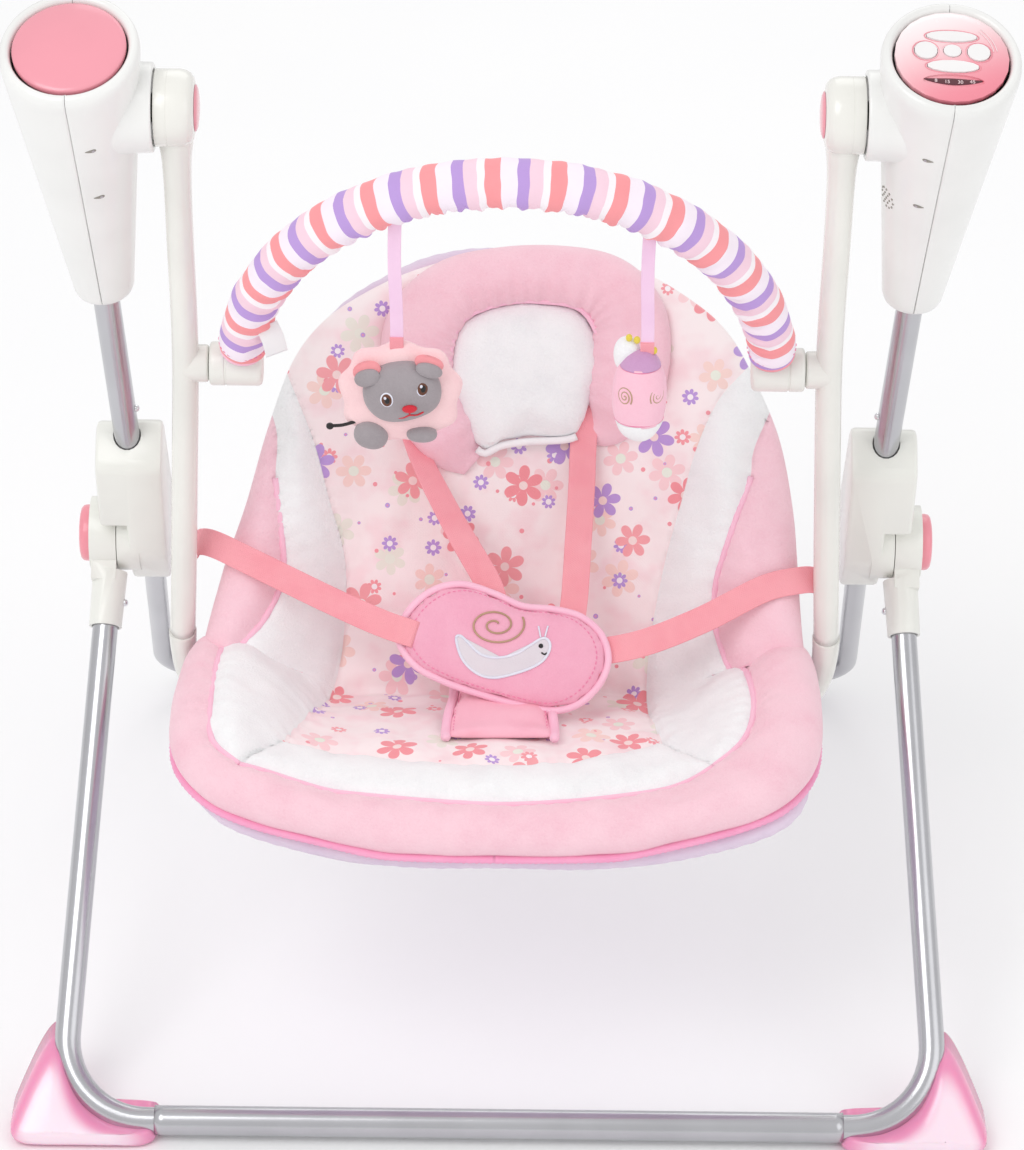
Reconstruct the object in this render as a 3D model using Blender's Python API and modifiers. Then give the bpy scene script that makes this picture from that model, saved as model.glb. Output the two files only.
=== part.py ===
"""Electric baby swing on a folding tube stand.

Metres, +Z up, the front of the swing faces -Y, and the floor is z = 0. The right-hand (+X) pieces are
modelled and the left-hand ones are their mirror images. Every moving piece hangs from an empty that
stands on its joint's axis.
"""

import math

import bmesh
import bpy
from mathutils import Matrix, Vector

# Running clearance between pieces that touch.
GAP = 0.0003

# Stand.
FRONT_CORNER = Vector((0.2965, -0.269, 0.0125))
REAR_CORNER = Vector((0.268, 0.2743, 0.0092))
FOLD_AXIS = Vector((0.0, 0.033, 0.2905))
LEG_X_AT_FOLD = 0.2747
REAR_X_AT_FOLD = 0.2487
LEG_RADIUS = 0.0088
REAR_RADIUS = 0.0078
FRONT_BAR_RADIUS = 0.0102
REAR_BAR_RADIUS = 0.0092
TUBE_WALL = 0.0008
BEND_RADIUS = 0.055
FRONT_BAR_HALF = 0.2325
REAR_BAR_HALF = 0.2
STUB = 0.02
TUBE_BORE = LEG_RADIUS + 0.0008
CONNECTOR_INNER = 0.2355
CONNECTOR_OUTER = 0.281
HUB_INNER = 0.2712
HUB_OUTER = 0.29
HUB_RADIUS = 0.026
PIN_RADIUS = 0.004
# Connector outlines: above the fold axis, behind it, and the corner's radius.
CONNECTOR_SLAB = ((0.107, 0.015, 0.012), (0.0, 0.043, 0.03), (-0.036, 0.022, 0.008))
CONNECTOR_SLAB += ((-0.034, -0.012, 0.008), (0.0, -0.025, 0.03), (0.086, -0.021, 0.012))
CONNECTOR_HEAD = ((0.107, 0.015, 0.012), (0.029, 0.03, 0.004), (0.029, -0.023, 0.004))
CONNECTOR_HEAD += ((0.086, -0.021, 0.012),)
# Foot outlines, as (x, z), at the nose and behind it.
FOOT_NOSE = ((0.236, 0.005), (0.318, 0.005), (0.3265, 0.012), (0.304, 0.04), (0.296, 0.04))
FOOT_NOSE += ((0.286, 0.024), (0.262, 0.0122), (0.236, 0.0112))
FOOT_BODY = ((0.232, 0.0), (0.322, 0.0), (0.332, 0.011), (0.307, 0.048), (0.296, 0.048))
FOOT_BODY += ((0.284, 0.024), (0.262, 0.0125), (0.232, 0.0115))
FOOT_SECTIONS = ((-0.2835, FOOT_NOSE), (-0.271, FOOT_BODY), (-0.249, FOOT_BODY))
FOOT_LEAN = 1.086

# Upright: the straight line on which the upper tube and the housing lie.
UPRIGHT_FOOT = Vector((0.2552, 0.033, 0.2905))
UPRIGHT_TOP = Vector((0.2745, -0.0763, 0.7183))
HOUSING_LENGTH = 0.2064
HOUSING_TOP_RADIUS = 0.0442
HOUSING_FOOT_RADIUS = 0.02
HOUSING_WALL = 0.0026
PANEL_TILT = math.radians(10)
PANEL_RADIUS = 0.0358
COLLAR_INNER = 0.224
# Keys on the panel: name, x, y, half width, half height, in the panel's frame.
KEYS = (
    ("key_top", 0.0, 0.0145, 0.016, 0.0042),
    ("key_left", -0.0165, 0.0025, 0.0072, 0.0068),
    ("key_centre", 0.0, 0.0028, 0.0056, 0.0048),
    ("key_right", 0.0165, 0.0025, 0.0072, 0.0068),
    ("key_bottom", 0.0, -0.0095, 0.0163, 0.0047),
)

# Swing.
PIVOT = Vector((0.0, -0.064, 0.6701))
HOOP_JOINT = Vector((0.204, -0.048, 0.2145))
ARM_LINE = ((0.2115, PIVOT.y, 0.655), (0.2115, -0.059, 0.58), (0.2115, -0.0535, 0.49))
ARM_LINE += ((0.215, -0.050, 0.40), (0.219, -0.047, 0.31), (0.2215, -0.045, 0.262))
ARM_END_LINE = ((0.2216, -0.045, 0.2614), (0.2205, -0.045, 0.236), (0.211, -0.048, 0.216))
TOY_AXIS = Vector((0.0, -0.0525, 0.478))
TOY_BAR_LEAN = math.radians(25)
TOY_BAR_HALF = 0.174
TOY_BAR_HEIGHT = 0.197
SLEEVE_RADIUS = 0.0165
CORE_RADIUS = 0.0052
PAD_THICKNESS = 0.024
HOOP_RADIUS = 0.006
RIBBON_WIDTH = 0.01
RIBBON_THICKNESS = 0.0012
# Toys: name, angle on the arch, ribbon top below the arch, centre height, radii and material.
TOYS = (
    ("bear_toy", math.acos(-0.068 / TOY_BAR_HALF), 0.023, 0.5, (0.04, 0.017, 0.033), "grey_felt"),
    ("egg_toy", math.acos(0.085 / TOY_BAR_HALF), 0.0255, 0.5, (0.018, 0.016, 0.034), "pink_plush"),
)

# Seat stations from the front edge to the top of the back: y, z, half width, rise of the sides.
SEAT = (
    (-0.256, 0.250, 0.130, 0.006),
    (-0.225, 0.252, 0.198, 0.016),
    (-0.170, 0.243, 0.212, 0.030),
    (-0.105, 0.227, 0.211, 0.042),
    (-0.049, 0.217, 0.208, 0.046),
    (0.000, 0.284, 0.191, 0.042),
    (0.045, 0.359, 0.168, 0.034),
    (0.085, 0.429, 0.134, 0.022),
    (0.113, 0.476, 0.070, 0.008),
)
# Hoop routes: station, share of the half width and drop below the pad.
FRONT_HOOP = ((3.93, 0.975, 0.0265), (3.5, 0.965, 0.014), (2.8, 0.95, 0.009), (1.9, 0.94, 0.0085))
FRONT_HOOP += ((1.1, 0.9, 0.0085), (0.62, 0.72, 0.009), (0.42, 0.4, 0.0095), (0.38, 0.0, 0.0095))
BACK_HOOP = ((4.05, 0.975, 0.0265), (4.5, 0.965, 0.018), (5.2, 0.95, 0.0095), (6.1, 0.94, 0.0085))
BACK_HOOP += ((7.0, 0.9, 0.0085), (7.55, 0.75, 0.009), (7.8, 0.45, 0.0095), (7.86, 0.0, 0.0095))
SLING_SHARES = (-0.7, -0.52, 0.0, 0.52, 0.7)

# Harness: the belly pad, the tab under it and the straps' lines.
BELLY_CENTRE = Vector((0.006, -0.075, 0.27))
BELLY_RADII = (0.07, 0.038, 0.011)
HARNESS_FACING = (0, -0.77, 0.64)
CROTCH_LINE = ((0.0, -0.153, 0.2495), (0.0, -0.128, 0.2445), (0.0, -0.095, 0.2425))
STRAP_WIDTH = 0.018
STRAP_THICKNESS = 0.0016
STRAPS = {
    "shoulder_strap_left": (
        (-0.062, 0.040, 0.3655), (-0.048, 0.012, 0.344), (-0.03, -0.018, 0.325), (-0.012, -0.041, 0.311),
    ),
    "shoulder_strap_right": (
        (0.052, 0.040, 0.3655), (0.052, 0.012, 0.342), (0.05, -0.018, 0.322), (0.05, -0.043, 0.305),
    ),
    "waist_strap_left": (
        (-0.203, -0.036, 0.325), (-0.17, -0.045, 0.315), (-0.12, -0.06, 0.294), (-0.073, -0.071, 0.281),
    ),
    "waist_strap_right": (
        (0.203, -0.046, 0.306), (0.175, -0.05, 0.3), (0.13, -0.064, 0.284), (0.086, -0.074, 0.274),
    ),
}

X_AXIS = Vector((1, 0, 0))


# ---------------------------------------------------------------- scene and materials


def clear_scene():
    for obj in list(bpy.data.objects):
        bpy.data.objects.remove(obj, do_unlink=True)


def new_collection(name):
    collection = bpy.data.collections.new(name)
    bpy.context.scene.collection.children.link(collection)
    return collection


def material(name, colour, roughness, metallic=0.0):
    made = bpy.data.materials.new(name)
    made.use_nodes = True
    shader = made.node_tree.nodes["Principled BSDF"]
    shader.inputs["Base Color"].default_value = (*colour, 1)
    shader.inputs["Roughness"].default_value = roughness
    shader.inputs["Metallic"].default_value = metallic
    return made


def make_materials():
    return {
        "white_plastic": material("white_plastic", (0.86, 0.86, 0.84), 0.3),
        "pearl_plastic": material("pearl_plastic", (0.8, 0.8, 0.75), 0.25),
        "pink_plastic": material("pink_plastic", (0.85, 0.35, 0.42), 0.3),
        "tube_metal": material("tube_metal", (0.45, 0.45, 0.47), 0.25, 1.0),
        "steel": material("steel", (0.6, 0.6, 0.62), 0.3, 1.0),
        "electronics": material("electronics", (0.05, 0.25, 0.12), 0.5),
        "black_plastic": material("black_plastic", (0.03, 0.03, 0.03), 0.5),
        "pink_plush": material("pink_plush", (0.92, 0.62, 0.68), 0.9),
        "webbing": material("webbing", (0.88, 0.3, 0.33), 0.8),
        "sling_cloth": material("sling_cloth", (0.74, 0.6, 0.74), 0.85),
        "stripe_cloth": material("stripe_cloth", (0.8, 0.5, 0.62), 0.85),
        "grey_felt": material("grey_felt", (0.3, 0.27, 0.28), 0.95),
    }


# ---------------------------------------------------------------- shapes


def add(obj):
    """Link a new object to the helper collection until it is placed."""
    bpy.context.scene.collection.objects.link(obj)
    return obj


def across(start, end):
    """The matrix that lays local Z along the line from start to end, centred between them."""
    direction = end - start
    turn = direction.to_track_quat("Z", "Y").to_matrix().to_4x4()
    return Matrix.Translation((start + end) / 2) @ turn


def from_bmesh(name, build, matrix):
    mesh = bpy.data.meshes.new(name)
    made = bmesh.new()
    build(made)
    made.to_mesh(mesh)
    made.free()
    obj = add(bpy.data.objects.new(name, mesh))
    obj.matrix_world = matrix
    return obj


def cylinder(name, start, end, radius, end_radius=None, sides=18):
    start, end = Vector(start), Vector(end)
    top = radius if end_radius is None else end_radius

    def build(made):
        bmesh.ops.create_cone(
            made,
            cap_ends=True,
            segments=sides,
            radius1=radius,
            radius2=top,
            depth=(end - start).length,
        )

    return from_bmesh(name, build, across(start, end))


def drum(name, near, far, centre, radius, sides=18):
    """A cylinder along X between two distances from the middle plane."""
    return cylinder(name, (near, centre.y, centre.z), (far, centre.y, centre.z), radius, sides=sides)


def block(name, matrix, size):
    def build(made):
        bmesh.ops.create_cube(made, size=1, matrix=Matrix.Diagonal((*size, 1)))

    return from_bmesh(name, build, matrix)


def ball(name, centre, radii, turn=None, segments=12, rings=8):
    def build(made):
        bmesh.ops.create_uvsphere(made, u_segments=segments, v_segments=rings, radius=1)

    turned_by = turn.to_4x4() if turn else Matrix.Identity(4)
    return from_bmesh(
        name, build, Matrix.Translation(centre) @ turned_by @ Matrix.Diagonal((*radii, 1))
    )


def lens(name, matrix, half_width, half_height, low, high, sides=14):
    """An upright plate with an elliptical outline between two heights of a local frame."""

    def build(made):
        bmesh.ops.create_cone(
            made, cap_ends=True, segments=sides, radius1=1, radius2=1, depth=high - low
        )

    middle = Matrix.Translation((0, 0, (low + high) / 2))
    return from_bmesh(name, build, matrix @ middle @ Matrix.Diagonal((half_width, half_height, 1, 1)))


def turned(name, profile, matrix, steps=24):
    """A closed or axis-to-axis profile of (radius, height) points turned about local Z."""
    mesh = bpy.data.meshes.new(name)
    points = [(radius, 0, height) for radius, height in profile]
    count = len(points)
    last = count if profile[0][0] > 0 else count - 1
    mesh.from_pydata(points, [(i, (i + 1) % count) for i in range(last)], [])
    obj = add(bpy.data.objects.new(name, mesh))
    obj.matrix_world = matrix
    screw = obj.modifiers.new("turn", "SCREW")
    screw.steps = steps
    screw.render_steps = steps
    screw.use_merge_vertices = True
    screw.merge_threshold = 0.00001
    return obj


def fillet(before, corner, after, radius, steps):
    """The points of the arc that rounds one corner of a path."""
    back = (before - corner).normalized()
    ahead = (after - corner).normalized()
    half = back.angle(ahead) / 2
    reach = radius / math.tan(half)
    middle = corner + (back + ahead).normalized() * radius / math.sin(half)
    first = corner + back * reach - middle
    normal = first.cross(corner + ahead * reach - middle).normalized()
    sweep = math.pi - 2 * half
    return [
        middle + Matrix.Rotation(sweep * step / steps, 3, normal) @ first for step in range(steps + 1)
    ]


def smooth_path(points, steps=4):
    """Points along a Catmull-Rom curve through the given ones."""
    points = [Vector(point) for point in points]
    ends = [2 * points[0] - points[1], *points, 2 * points[-1] - points[-2]]
    path = []
    for a, b, c, d in zip(ends, ends[1:], ends[2:], ends[3:]):
        for step in range(steps):
            t = step / steps
            path.append(
                0.5
                * (
                    2 * b
                    + (c - a) * t
                    + (2 * a - 5 * b + 4 * c - d) * t * t
                    + (3 * b - a - 3 * c + d) * t * t * t
                )
            )
    return [*path, points[-1]]


def tube(name, points, radius, wall=0.0, sides=12):
    """A round bar along a path, or an open tube where a wall is given."""
    curve = bpy.data.curves.new(name, "CURVE")
    curve.dimensions = "3D"
    curve.bevel_depth = radius
    curve.bevel_resolution = (sides - 4) // 2
    curve.use_fill_caps = wall == 0
    spline = curve.splines.new("POLY")
    spline.points.add(len(points) - 1)
    for place, point in zip(spline.points, points):
        place.co = (*point, 1)
    obj = add(bpy.data.objects.new(name, curve))
    if wall:
        solidify = obj.modifiers.new("wall", "SOLIDIFY")
        solidify.thickness = wall
        solidify.offset = -1
    return obj


def side_plate(name, outline, near, far, bevel=0.0):
    """A plate whose outline of (y, z) points is extruded along X from near to far."""
    curve = bpy.data.curves.new(name, "CURVE")
    curve.dimensions = "2D"
    curve.fill_mode = "BOTH"
    curve.extrude = (far - near) / 2 - bevel
    curve.bevel_depth = bevel
    curve.bevel_resolution = 1
    curve.offset = -bevel
    spline = curve.splines.new("POLY")
    spline.use_cyclic_u = True
    spline.points.add(len(outline) - 1)
    for place, (y, z) in zip(spline.points, outline):
        place.co = (y, z, 0, 1)
    obj = add(bpy.data.objects.new(name, curve))
    turn = Matrix(((0, 0, 1, (near + far) / 2), (1, 0, 0, 0), (0, 1, 0, 0), (0, 0, 0, 1)))
    obj.matrix_world = turn
    return baked(obj)


def rounded_outline(corners, steps=3):
    """An outline of (y, z) points with each (y, z, radius) corner rounded."""
    flat = [Vector((y, z, 0)) for y, z, _ in corners]
    outline = []
    for index, (_, _, radius) in enumerate(corners):
        before, after = flat[index - 1], flat[(index + 1) % len(flat)]
        outline += [tuple(p.xy) for p in fillet(before, flat[index], after, radius, steps)]
    return outline


def loft(name, rings):
    """A closed skin over rings of equal point counts, with its ends filled."""
    mesh = bpy.data.meshes.new(name)
    made = bmesh.new()
    rows = [[made.verts.new(point) for point in ring] for ring in rings]
    count = len(rows[0])
    for low, high in zip(rows, rows[1:]):
        for i in range(count):
            j = (i + 1) % count
            made.faces.new((low[i], low[j], high[j], high[i]))
    made.faces.new(rows[0])
    made.faces.new(rows[-1])
    bmesh.ops.recalc_face_normals(made, faces=made.faces)
    bmesh.ops.triangulate(made, faces=made.faces)
    made.to_mesh(mesh)
    made.free()
    return add(bpy.data.objects.new(name, mesh))


# ---------------------------------------------------------------- joining, cutting and placing


def baked(obj):
    """The object as a plain mesh at its place, with its modifiers or curve evaluated."""
    bpy.context.view_layer.update()
    graph = bpy.context.evaluated_depsgraph_get()
    mesh = bpy.data.meshes.new_from_object(obj.evaluated_get(graph))
    welded = bmesh.new()
    welded.from_mesh(mesh)
    bmesh.ops.remove_doubles(welded, verts=welded.verts, dist=0.00001)
    bmesh.ops.recalc_face_normals(welded, faces=welded.faces)
    welded.to_mesh(mesh)
    welded.free()
    name = obj.name
    matrix = obj.matrix_world.copy()
    bpy.data.objects.remove(obj, do_unlink=True)
    plain = add(bpy.data.objects.new(name, mesh))
    plain.matrix_world = matrix
    return plain


def combined(obj, others, operation):
    """The object joined with, or cut by, each of the others, which are used up."""
    for other in others:
        boolean = obj.modifiers.new(other.name, "BOOLEAN")
        boolean.operation = operation
        boolean.object = other
    result = baked(obj)
    for other in others:
        bpy.data.objects.remove(other, do_unlink=True)
    return result


def joined(obj, *others):
    return combined(obj, others, "UNION")


def cut(obj, *others):
    return combined(obj, others, "DIFFERENCE")


def rounded(obj, width, segments=2):
    bevel = obj.modifiers.new("round", "BEVEL")
    bevel.width = width
    bevel.segments = segments
    bevel.limit_method = "ANGLE"
    return baked(obj)


def mirrored(obj, name):
    """The left-hand copy of a right-hand piece, sharing its mesh."""
    copy = add(obj.copy())
    copy.name = name
    copy.matrix_world = Matrix.Diagonal((-1, 1, 1, 1)) @ obj.matrix_world
    return copy


class Assembly:
    """Puts finished pieces into the object's collection, under the empty of the body they ride on."""

    def __init__(self, collection, materials):
        self.collection = collection
        self.materials = materials
        self.bodies = {}

    def body(self, name, place, known_as=None):
        """Add a moving body's empty; pieces name it by its own name or by the one it is known as."""
        empty = bpy.data.objects.new(name, None)
        empty.empty_display_size = 0.03
        self.collection.objects.link(empty)
        empty.location = place
        self.bodies[known_as or name] = empty

    def place(self, obj, material_name, body):
        bpy.context.view_layer.update()
        for collection in list(obj.users_collection):
            collection.objects.unlink(obj)
        self.collection.objects.link(obj)
        matrix = obj.matrix_world.copy()
        obj.parent = self.bodies[body]
        obj.matrix_world = matrix
        obj.data.materials.clear()
        obj.data.materials.append(self.materials[material_name])
        if obj.type == "MESH":
            obj.data.shade_smooth()
            obj.data.set_sharp_from_angle(angle=math.radians(35))

    def pair(self, obj, material_name, body):
        """Place a right-hand piece and its mirror image."""
        base = obj.name
        obj.name = base + "_right"
        bpy.context.view_layer.update()
        left = mirrored(obj, base + "_left")
        self.place(obj, material_name, body)
        self.place(left, material_name, body)

    def left_only(self, obj, material_name, body):
        bpy.context.view_layer.update()
        obj.matrix_world = Matrix.Diagonal((-1, 1, 1, 1)) @ obj.matrix_world
        self.place(obj, material_name, body)


# ---------------------------------------------------------------- frames of reference


def upright_frame():
    """Local Z up the right-hand upright from the housing's foot, X outboard, Y backwards."""
    up = (UPRIGHT_TOP - UPRIGHT_FOOT).normalized()
    outboard = (X_AXIS - up * up.x).normalized()
    back = up.cross(outboard)
    foot = UPRIGHT_TOP - up * HOUSING_LENGTH
    return Matrix.Translation(foot) @ Matrix((outboard, back, up)).transposed().to_4x4()


def panel_frame():
    """The upright frame moved to the housing's top and tilted towards the front."""
    tilt = Matrix.Translation((0, 0, HOUSING_LENGTH)) @ Matrix.Rotation(PANEL_TILT, 4, "X")
    return upright_frame() @ tilt


def on_leg(distance):
    """A point of the right front leg's line, measured down from the fold axis."""
    top = Vector((LEG_X_AT_FOLD, FOLD_AXIS.y, FOLD_AXIS.z))
    return top + (FRONT_CORNER - top).normalized() * distance


def on_rear_leg(distance):
    top = Vector((REAR_X_AT_FOLD, FOLD_AXIS.y, FOLD_AXIS.z))
    return top + (REAR_CORNER - top).normalized() * distance


def on_upright(distance):
    """A point of the right upright's line, measured up from the fold axis."""
    return UPRIGHT_FOOT + (UPRIGHT_TOP - UPRIGHT_FOOT).normalized() * distance


def beside_fold(up, back):
    """The (y, z) point that lies so far up and behind the fold axis, as the upright leans."""
    lean = (UPRIGHT_TOP - UPRIGHT_FOOT).normalized()
    along = Vector((lean.y, lean.z)).normalized()
    behind = Vector((along.y, -along.x))
    return Vector((FOLD_AXIS.y, FOLD_AXIS.z)) + along * up + behind * back


# ---------------------------------------------------------------- stand


def bent_leg(name, top, corner, bar_half, radius):
    """A leg that runs down to its floor corner and turns inwards into the cross tube."""
    end = Vector((bar_half - STUB, corner.y, corner.z))
    path = [top, *fillet(top, corner, end, BEND_RADIUS, 5), end]
    return tube(name, path, radius, TUBE_WALL)


def cross_tube(name, corner, half, radius):
    ends = [(-half, corner.y, corner.z), (half, corner.y, corner.z)]
    return tube(name, [Vector(end) for end in ends], radius, TUBE_WALL)


def make_connector():
    """The moulding that holds the upper tube and the rear leg beside the fold hub."""
    slab_outline = [(*beside_fold(up, back), radius) for up, back, radius in CONNECTOR_SLAB]
    head_outline = [(*beside_fold(up, back), radius) for up, back, radius in CONNECTOR_HEAD]
    slab = side_plate("connector", rounded_outline(slab_outline[::-1]), CONNECTOR_INNER, 0.2625, 0.003)
    upper = side_plate("head", rounded_outline(head_outline[::-1]), 0.25, CONNECTOR_OUTER, 0.003)
    boss = drum("boss", 0.255, HUB_INNER - 0.0006, FOLD_AXIS, HUB_RADIUS)
    body = joined(slab, upper, boss)
    upper_bore = cylinder("upper_bore", on_upright(0.036), on_upright(0.13), TUBE_BORE)
    rear_bore = cylinder("rear_bore", on_rear_leg(0.016), on_rear_leg(0.09), REAR_RADIUS + 0.0008)
    pin_bore = drum("pin_bore", 0.2376, 0.3, FOLD_AXIS, PIN_RADIUS + GAP)
    return cut(body, upper_bore, rear_bore, pin_bore)


def make_hub():
    """The front leg's top fitting: a drum on the fold pin with a neck that grips the leg."""
    body = drum("hinge_hub", HUB_INNER, HUB_OUTER, FOLD_AXIS, HUB_RADIUS)
    down = (FRONT_CORNER - on_leg(0)).normalized()
    turn = Matrix.Translation((0.2799, 0, 0)) @ Matrix.Translation((0, FOLD_AXIS.y, FOLD_AXIS.z))
    facing = Matrix.Rotation(math.atan2(down.y, -down.z) + math.pi, 4, "X")
    bridge = block("bridge", turn @ facing @ Matrix.Translation((0, 0, 0.018)), (0.0172, 0.023, 0.036))
    neck = cylinder("neck", on_leg(0.0285), on_leg(0.068), 0.0121, 0.0114)
    body = joined(body, bridge, neck)
    leg_bore = cylinder("leg_bore", on_leg(0.031), on_leg(0.08), TUBE_BORE)
    pocket = drum("pocket", 0.2787, 0.3, FOLD_AXIS, 0.0203)
    pin_bore = drum("pin_bore", 0.26, 0.29, FOLD_AXIS, PIN_RADIUS + GAP)
    return cut(body, leg_bore, pocket, pin_bore)


def make_foot():
    """A corner shoe outside the front bend, flat underneath."""
    rings = [[Vector((x, y, z)) for x, z in points] for y, points in FOOT_SECTIONS]
    for ring in rings:
        for point in ring:
            point.y += max(0.0, point.z - FRONT_CORNER.z) * FOOT_LEAN
    shoe = loft("front_foot", rings)
    start = on_leg(0.28)
    end = Vector((0.2, FRONT_CORNER.y, FRONT_CORNER.z))
    path = [start, *fillet(start, FRONT_CORNER, end, BEND_RADIUS, 8), end]
    channel = baked(tube("channel", path, FRONT_BAR_RADIUS + GAP, sides=14))
    return cut(shoe, channel)


def make_stand(build):
    build.pair(
        bent_leg("rear_leg", on_rear_leg(0.018), REAR_CORNER, REAR_BAR_HALF, REAR_RADIUS),
        "tube_metal",
        "stand",
    )
    build.place(
        cross_tube("rear_crossbar", REAR_CORNER, REAR_BAR_HALF, REAR_BAR_RADIUS), "tube_metal", "stand"
    )
    build.pair(make_connector(), "white_plastic", "stand")
    pin = drum("fold_pin", 0.238, 0.278, FOLD_AXIS, PIN_RADIUS, sides=16)
    build.pair(pin, "steel", "stand")
    upper = [on_upright(0.038), on_upright(0.28)]
    build.pair(tube("upper_tube", upper, LEG_RADIUS, TUBE_WALL), "tube_metal", "stand")


def make_front_frame(build):
    build.pair(
        bent_leg("front_leg", on_leg(0.033), FRONT_CORNER, FRONT_BAR_HALF, LEG_RADIUS),
        "tube_metal",
        "front_frame",
    )
    build.place(
        cross_tube("front_crossbar", FRONT_CORNER, FRONT_BAR_HALF, FRONT_BAR_RADIUS),
        "tube_metal",
        "front_frame",
    )
    build.pair(make_hub(), "white_plastic", "front_frame")
    build.pair(make_foot(), "pink_plastic", "front_frame")
    button = rounded(drum("fold_button", 0.2835, 0.298, FOLD_AXIS, 0.0198), 0.0015, 1)
    button.name = "fold_button_right"
    left = mirrored(button, "fold_button_left")
    build.place(button, "pink_plastic", "fold_button_right")
    build.place(left, "pink_plastic", "fold_button_left")


# ---------------------------------------------------------------- housings


def housing_radius(height):
    """The outer radius of the housing's cone at a height above its foot."""
    share = (height - 0.006) / 0.194
    return HOUSING_FOOT_RADIUS + (HOUSING_TOP_RADIUS - HOUSING_FOOT_RADIUS) * share


def tilt_top(obj):
    """Shear the housing's top so that its rim lies in the panel's plane."""
    for vertex in obj.data.vertices:
        share = min(1.0, max(0.0, (vertex.co.z - 0.1) / 0.09))
        vertex.co.z += math.tan(PANEL_TILT) * vertex.co.y * share


def make_housing_body():
    """The whole conical housing: a wall of one thickness, open at the top for its lid."""
    inner_top = housing_radius(0.198) - HOUSING_WALL
    profile = [(0.0365, 0.2035), (0.0385, 0.2064), (0.0405, 0.2064), (0.0432, 0.2045)]
    profile += [(HOUSING_TOP_RADIUS, 0.2), (housing_radius(0.1), 0.1), (HOUSING_FOOT_RADIUS, 0.006)]
    profile += [(0.0165, 0.0), (TUBE_BORE, 0.0), (TUBE_BORE, 0.012)]
    profile += [(housing_radius(0.014) - HOUSING_WALL, 0.014)]
    profile += [(housing_radius(0.1) - HOUSING_WALL, 0.1), (inner_top, 0.197), (0.0365, 0.2)]
    body = baked(turned("housing", profile, upright_frame()))
    tilt_top(body)
    return body


def make_housing_halves():
    """The inboard shell with its pivot collar, and the outboard shell."""
    size = 0.5
    inboard = make_housing_body()
    inboard.name = "housing_inner"
    keep_in = block(
        "keep_in", upright_frame() @ Matrix.Translation((size / 2 - GAP / 2, 0, 0)), (size, size, size)
    )
    inboard = cut(inboard, keep_in)
    collar = drum("collar", COLLAR_INNER, 0.245, PIVOT, 0.0285, sides=24)
    inboard = joined(inboard, collar)
    inboard = cut(inboard, drum("bush_bore", 0.2, 0.25, PIVOT, 0.0093))
    outboard = make_housing_body()
    outboard.name = "housing_outer"
    keep_out = block(
        "keep_out", upright_frame() @ Matrix.Translation((-size / 2 + GAP / 2, 0, 0)), (size, size, size)
    )
    return inboard, cut(outboard, keep_out)


def lid_profile(crown):
    """A shallow domed lid that sits in the housing's mouth."""
    return [
        (0.0, crown),
        (0.018, crown * 0.72),
        (0.031, crown * 0.1),
        (PANEL_RADIUS, -0.0014),
        (PANEL_RADIUS, -0.005),
        (0.0, -0.005),
    ]


def make_panel(build):
    panel = baked(turned("control_panel", lid_profile(0.0008), panel_frame()))
    pockets = []
    for name, x, y, wide, high in KEYS:
        spot = panel_frame() @ Matrix.Translation((x, y, 0))
        pockets.append(lens(name + "_pocket", spot, wide + 0.0004, high + 0.0004, -0.0028, 0.01))
        key = lens(name, spot, wide, high, -0.0014, 0.0016)
        build.body(name + "_body", spot.translation)
        build.place(key, "white_plastic", name + "_body")
    window_spot = panel_frame() @ Matrix.Translation((0, -0.0205, 0))
    pockets.append(lens("window_pocket", window_spot, 0.0194, 0.0049, -0.0009, 0.01))
    build.place(cut(panel, *pockets), "pink_plastic", "stand")


def make_drive(build):
    """What the housings hold: the drive, the board and the speaker on the right, the cells on the left."""
    frame = upright_frame()
    axis_x = on_upright((PIVOT.z - UPRIGHT_FOOT.z) / 0.9681).x
    at_pivot = Matrix.Translation(Vector((axis_x, PIVOT.y, PIVOT.z)) - frame.translation) @ frame
    gearbox = block("gearbox", at_pivot @ Matrix.Translation((-0.0133, 0, 0)), (0.022, 0.04, 0.032))
    gearbox = cut(rounded(gearbox, 0.002, 1), drum("axle_bore", 0.23, 0.2615, PIVOT, 0.0056))
    build.place(gearbox, "black_plastic", "stand")
    motor_ends = [at_pivot @ Vector((x, 0, 0)) for x in (-0.0015, 0.026)]
    build.place(cylinder("motor", *motor_ends, 0.011), "steel", "stand")
    board_ends = [panel_frame() @ Vector((0, 0, z)) for z in (-0.0185, -0.0169)]
    build.place(cylinder("circuit_board", *board_ends, 0.03), "electronics", "stand")
    speaker_spot = frame @ Vector((0, 0, 0.098))
    build.place(drum("speaker", 0.2475, 0.254, speaker_spot, 0.013), "black_plastic", "stand")
    holder = cylinder("battery_pack", frame @ Vector((0, 0, 0.057)), frame @ Vector((0, 0, 0.06)), 0.0175)
    cells = [
        cylinder("cell", frame @ Vector((x, y, 0.0595)), frame @ Vector((x, y, 0.11)), 0.0072, sides=16)
        for x in (-0.0074, 0.0074)
        for y in (-0.0074, 0.0074)
    ]
    build.left_only(joined(holder, *cells), "black_plastic", "stand")


def make_housings(build):
    inboard, outboard = make_housing_halves()
    build.pair(inboard, "white_plastic", "stand")
    build.pair(outboard, "white_plastic", "stand")
    bush = drum("pivot_bush", COLLAR_INNER + 0.0002, 0.247, PIVOT, 0.009)
    bush = cut(bush, drum("axle_bore", 0.22, 0.26, PIVOT, 0.0055))
    build.pair(bush, "black_plastic", "stand")
    build.left_only(turned("disc_cap", lid_profile(0.003), panel_frame()), "pink_plastic", "stand")
    make_panel(build)
    make_drive(build)


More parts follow.
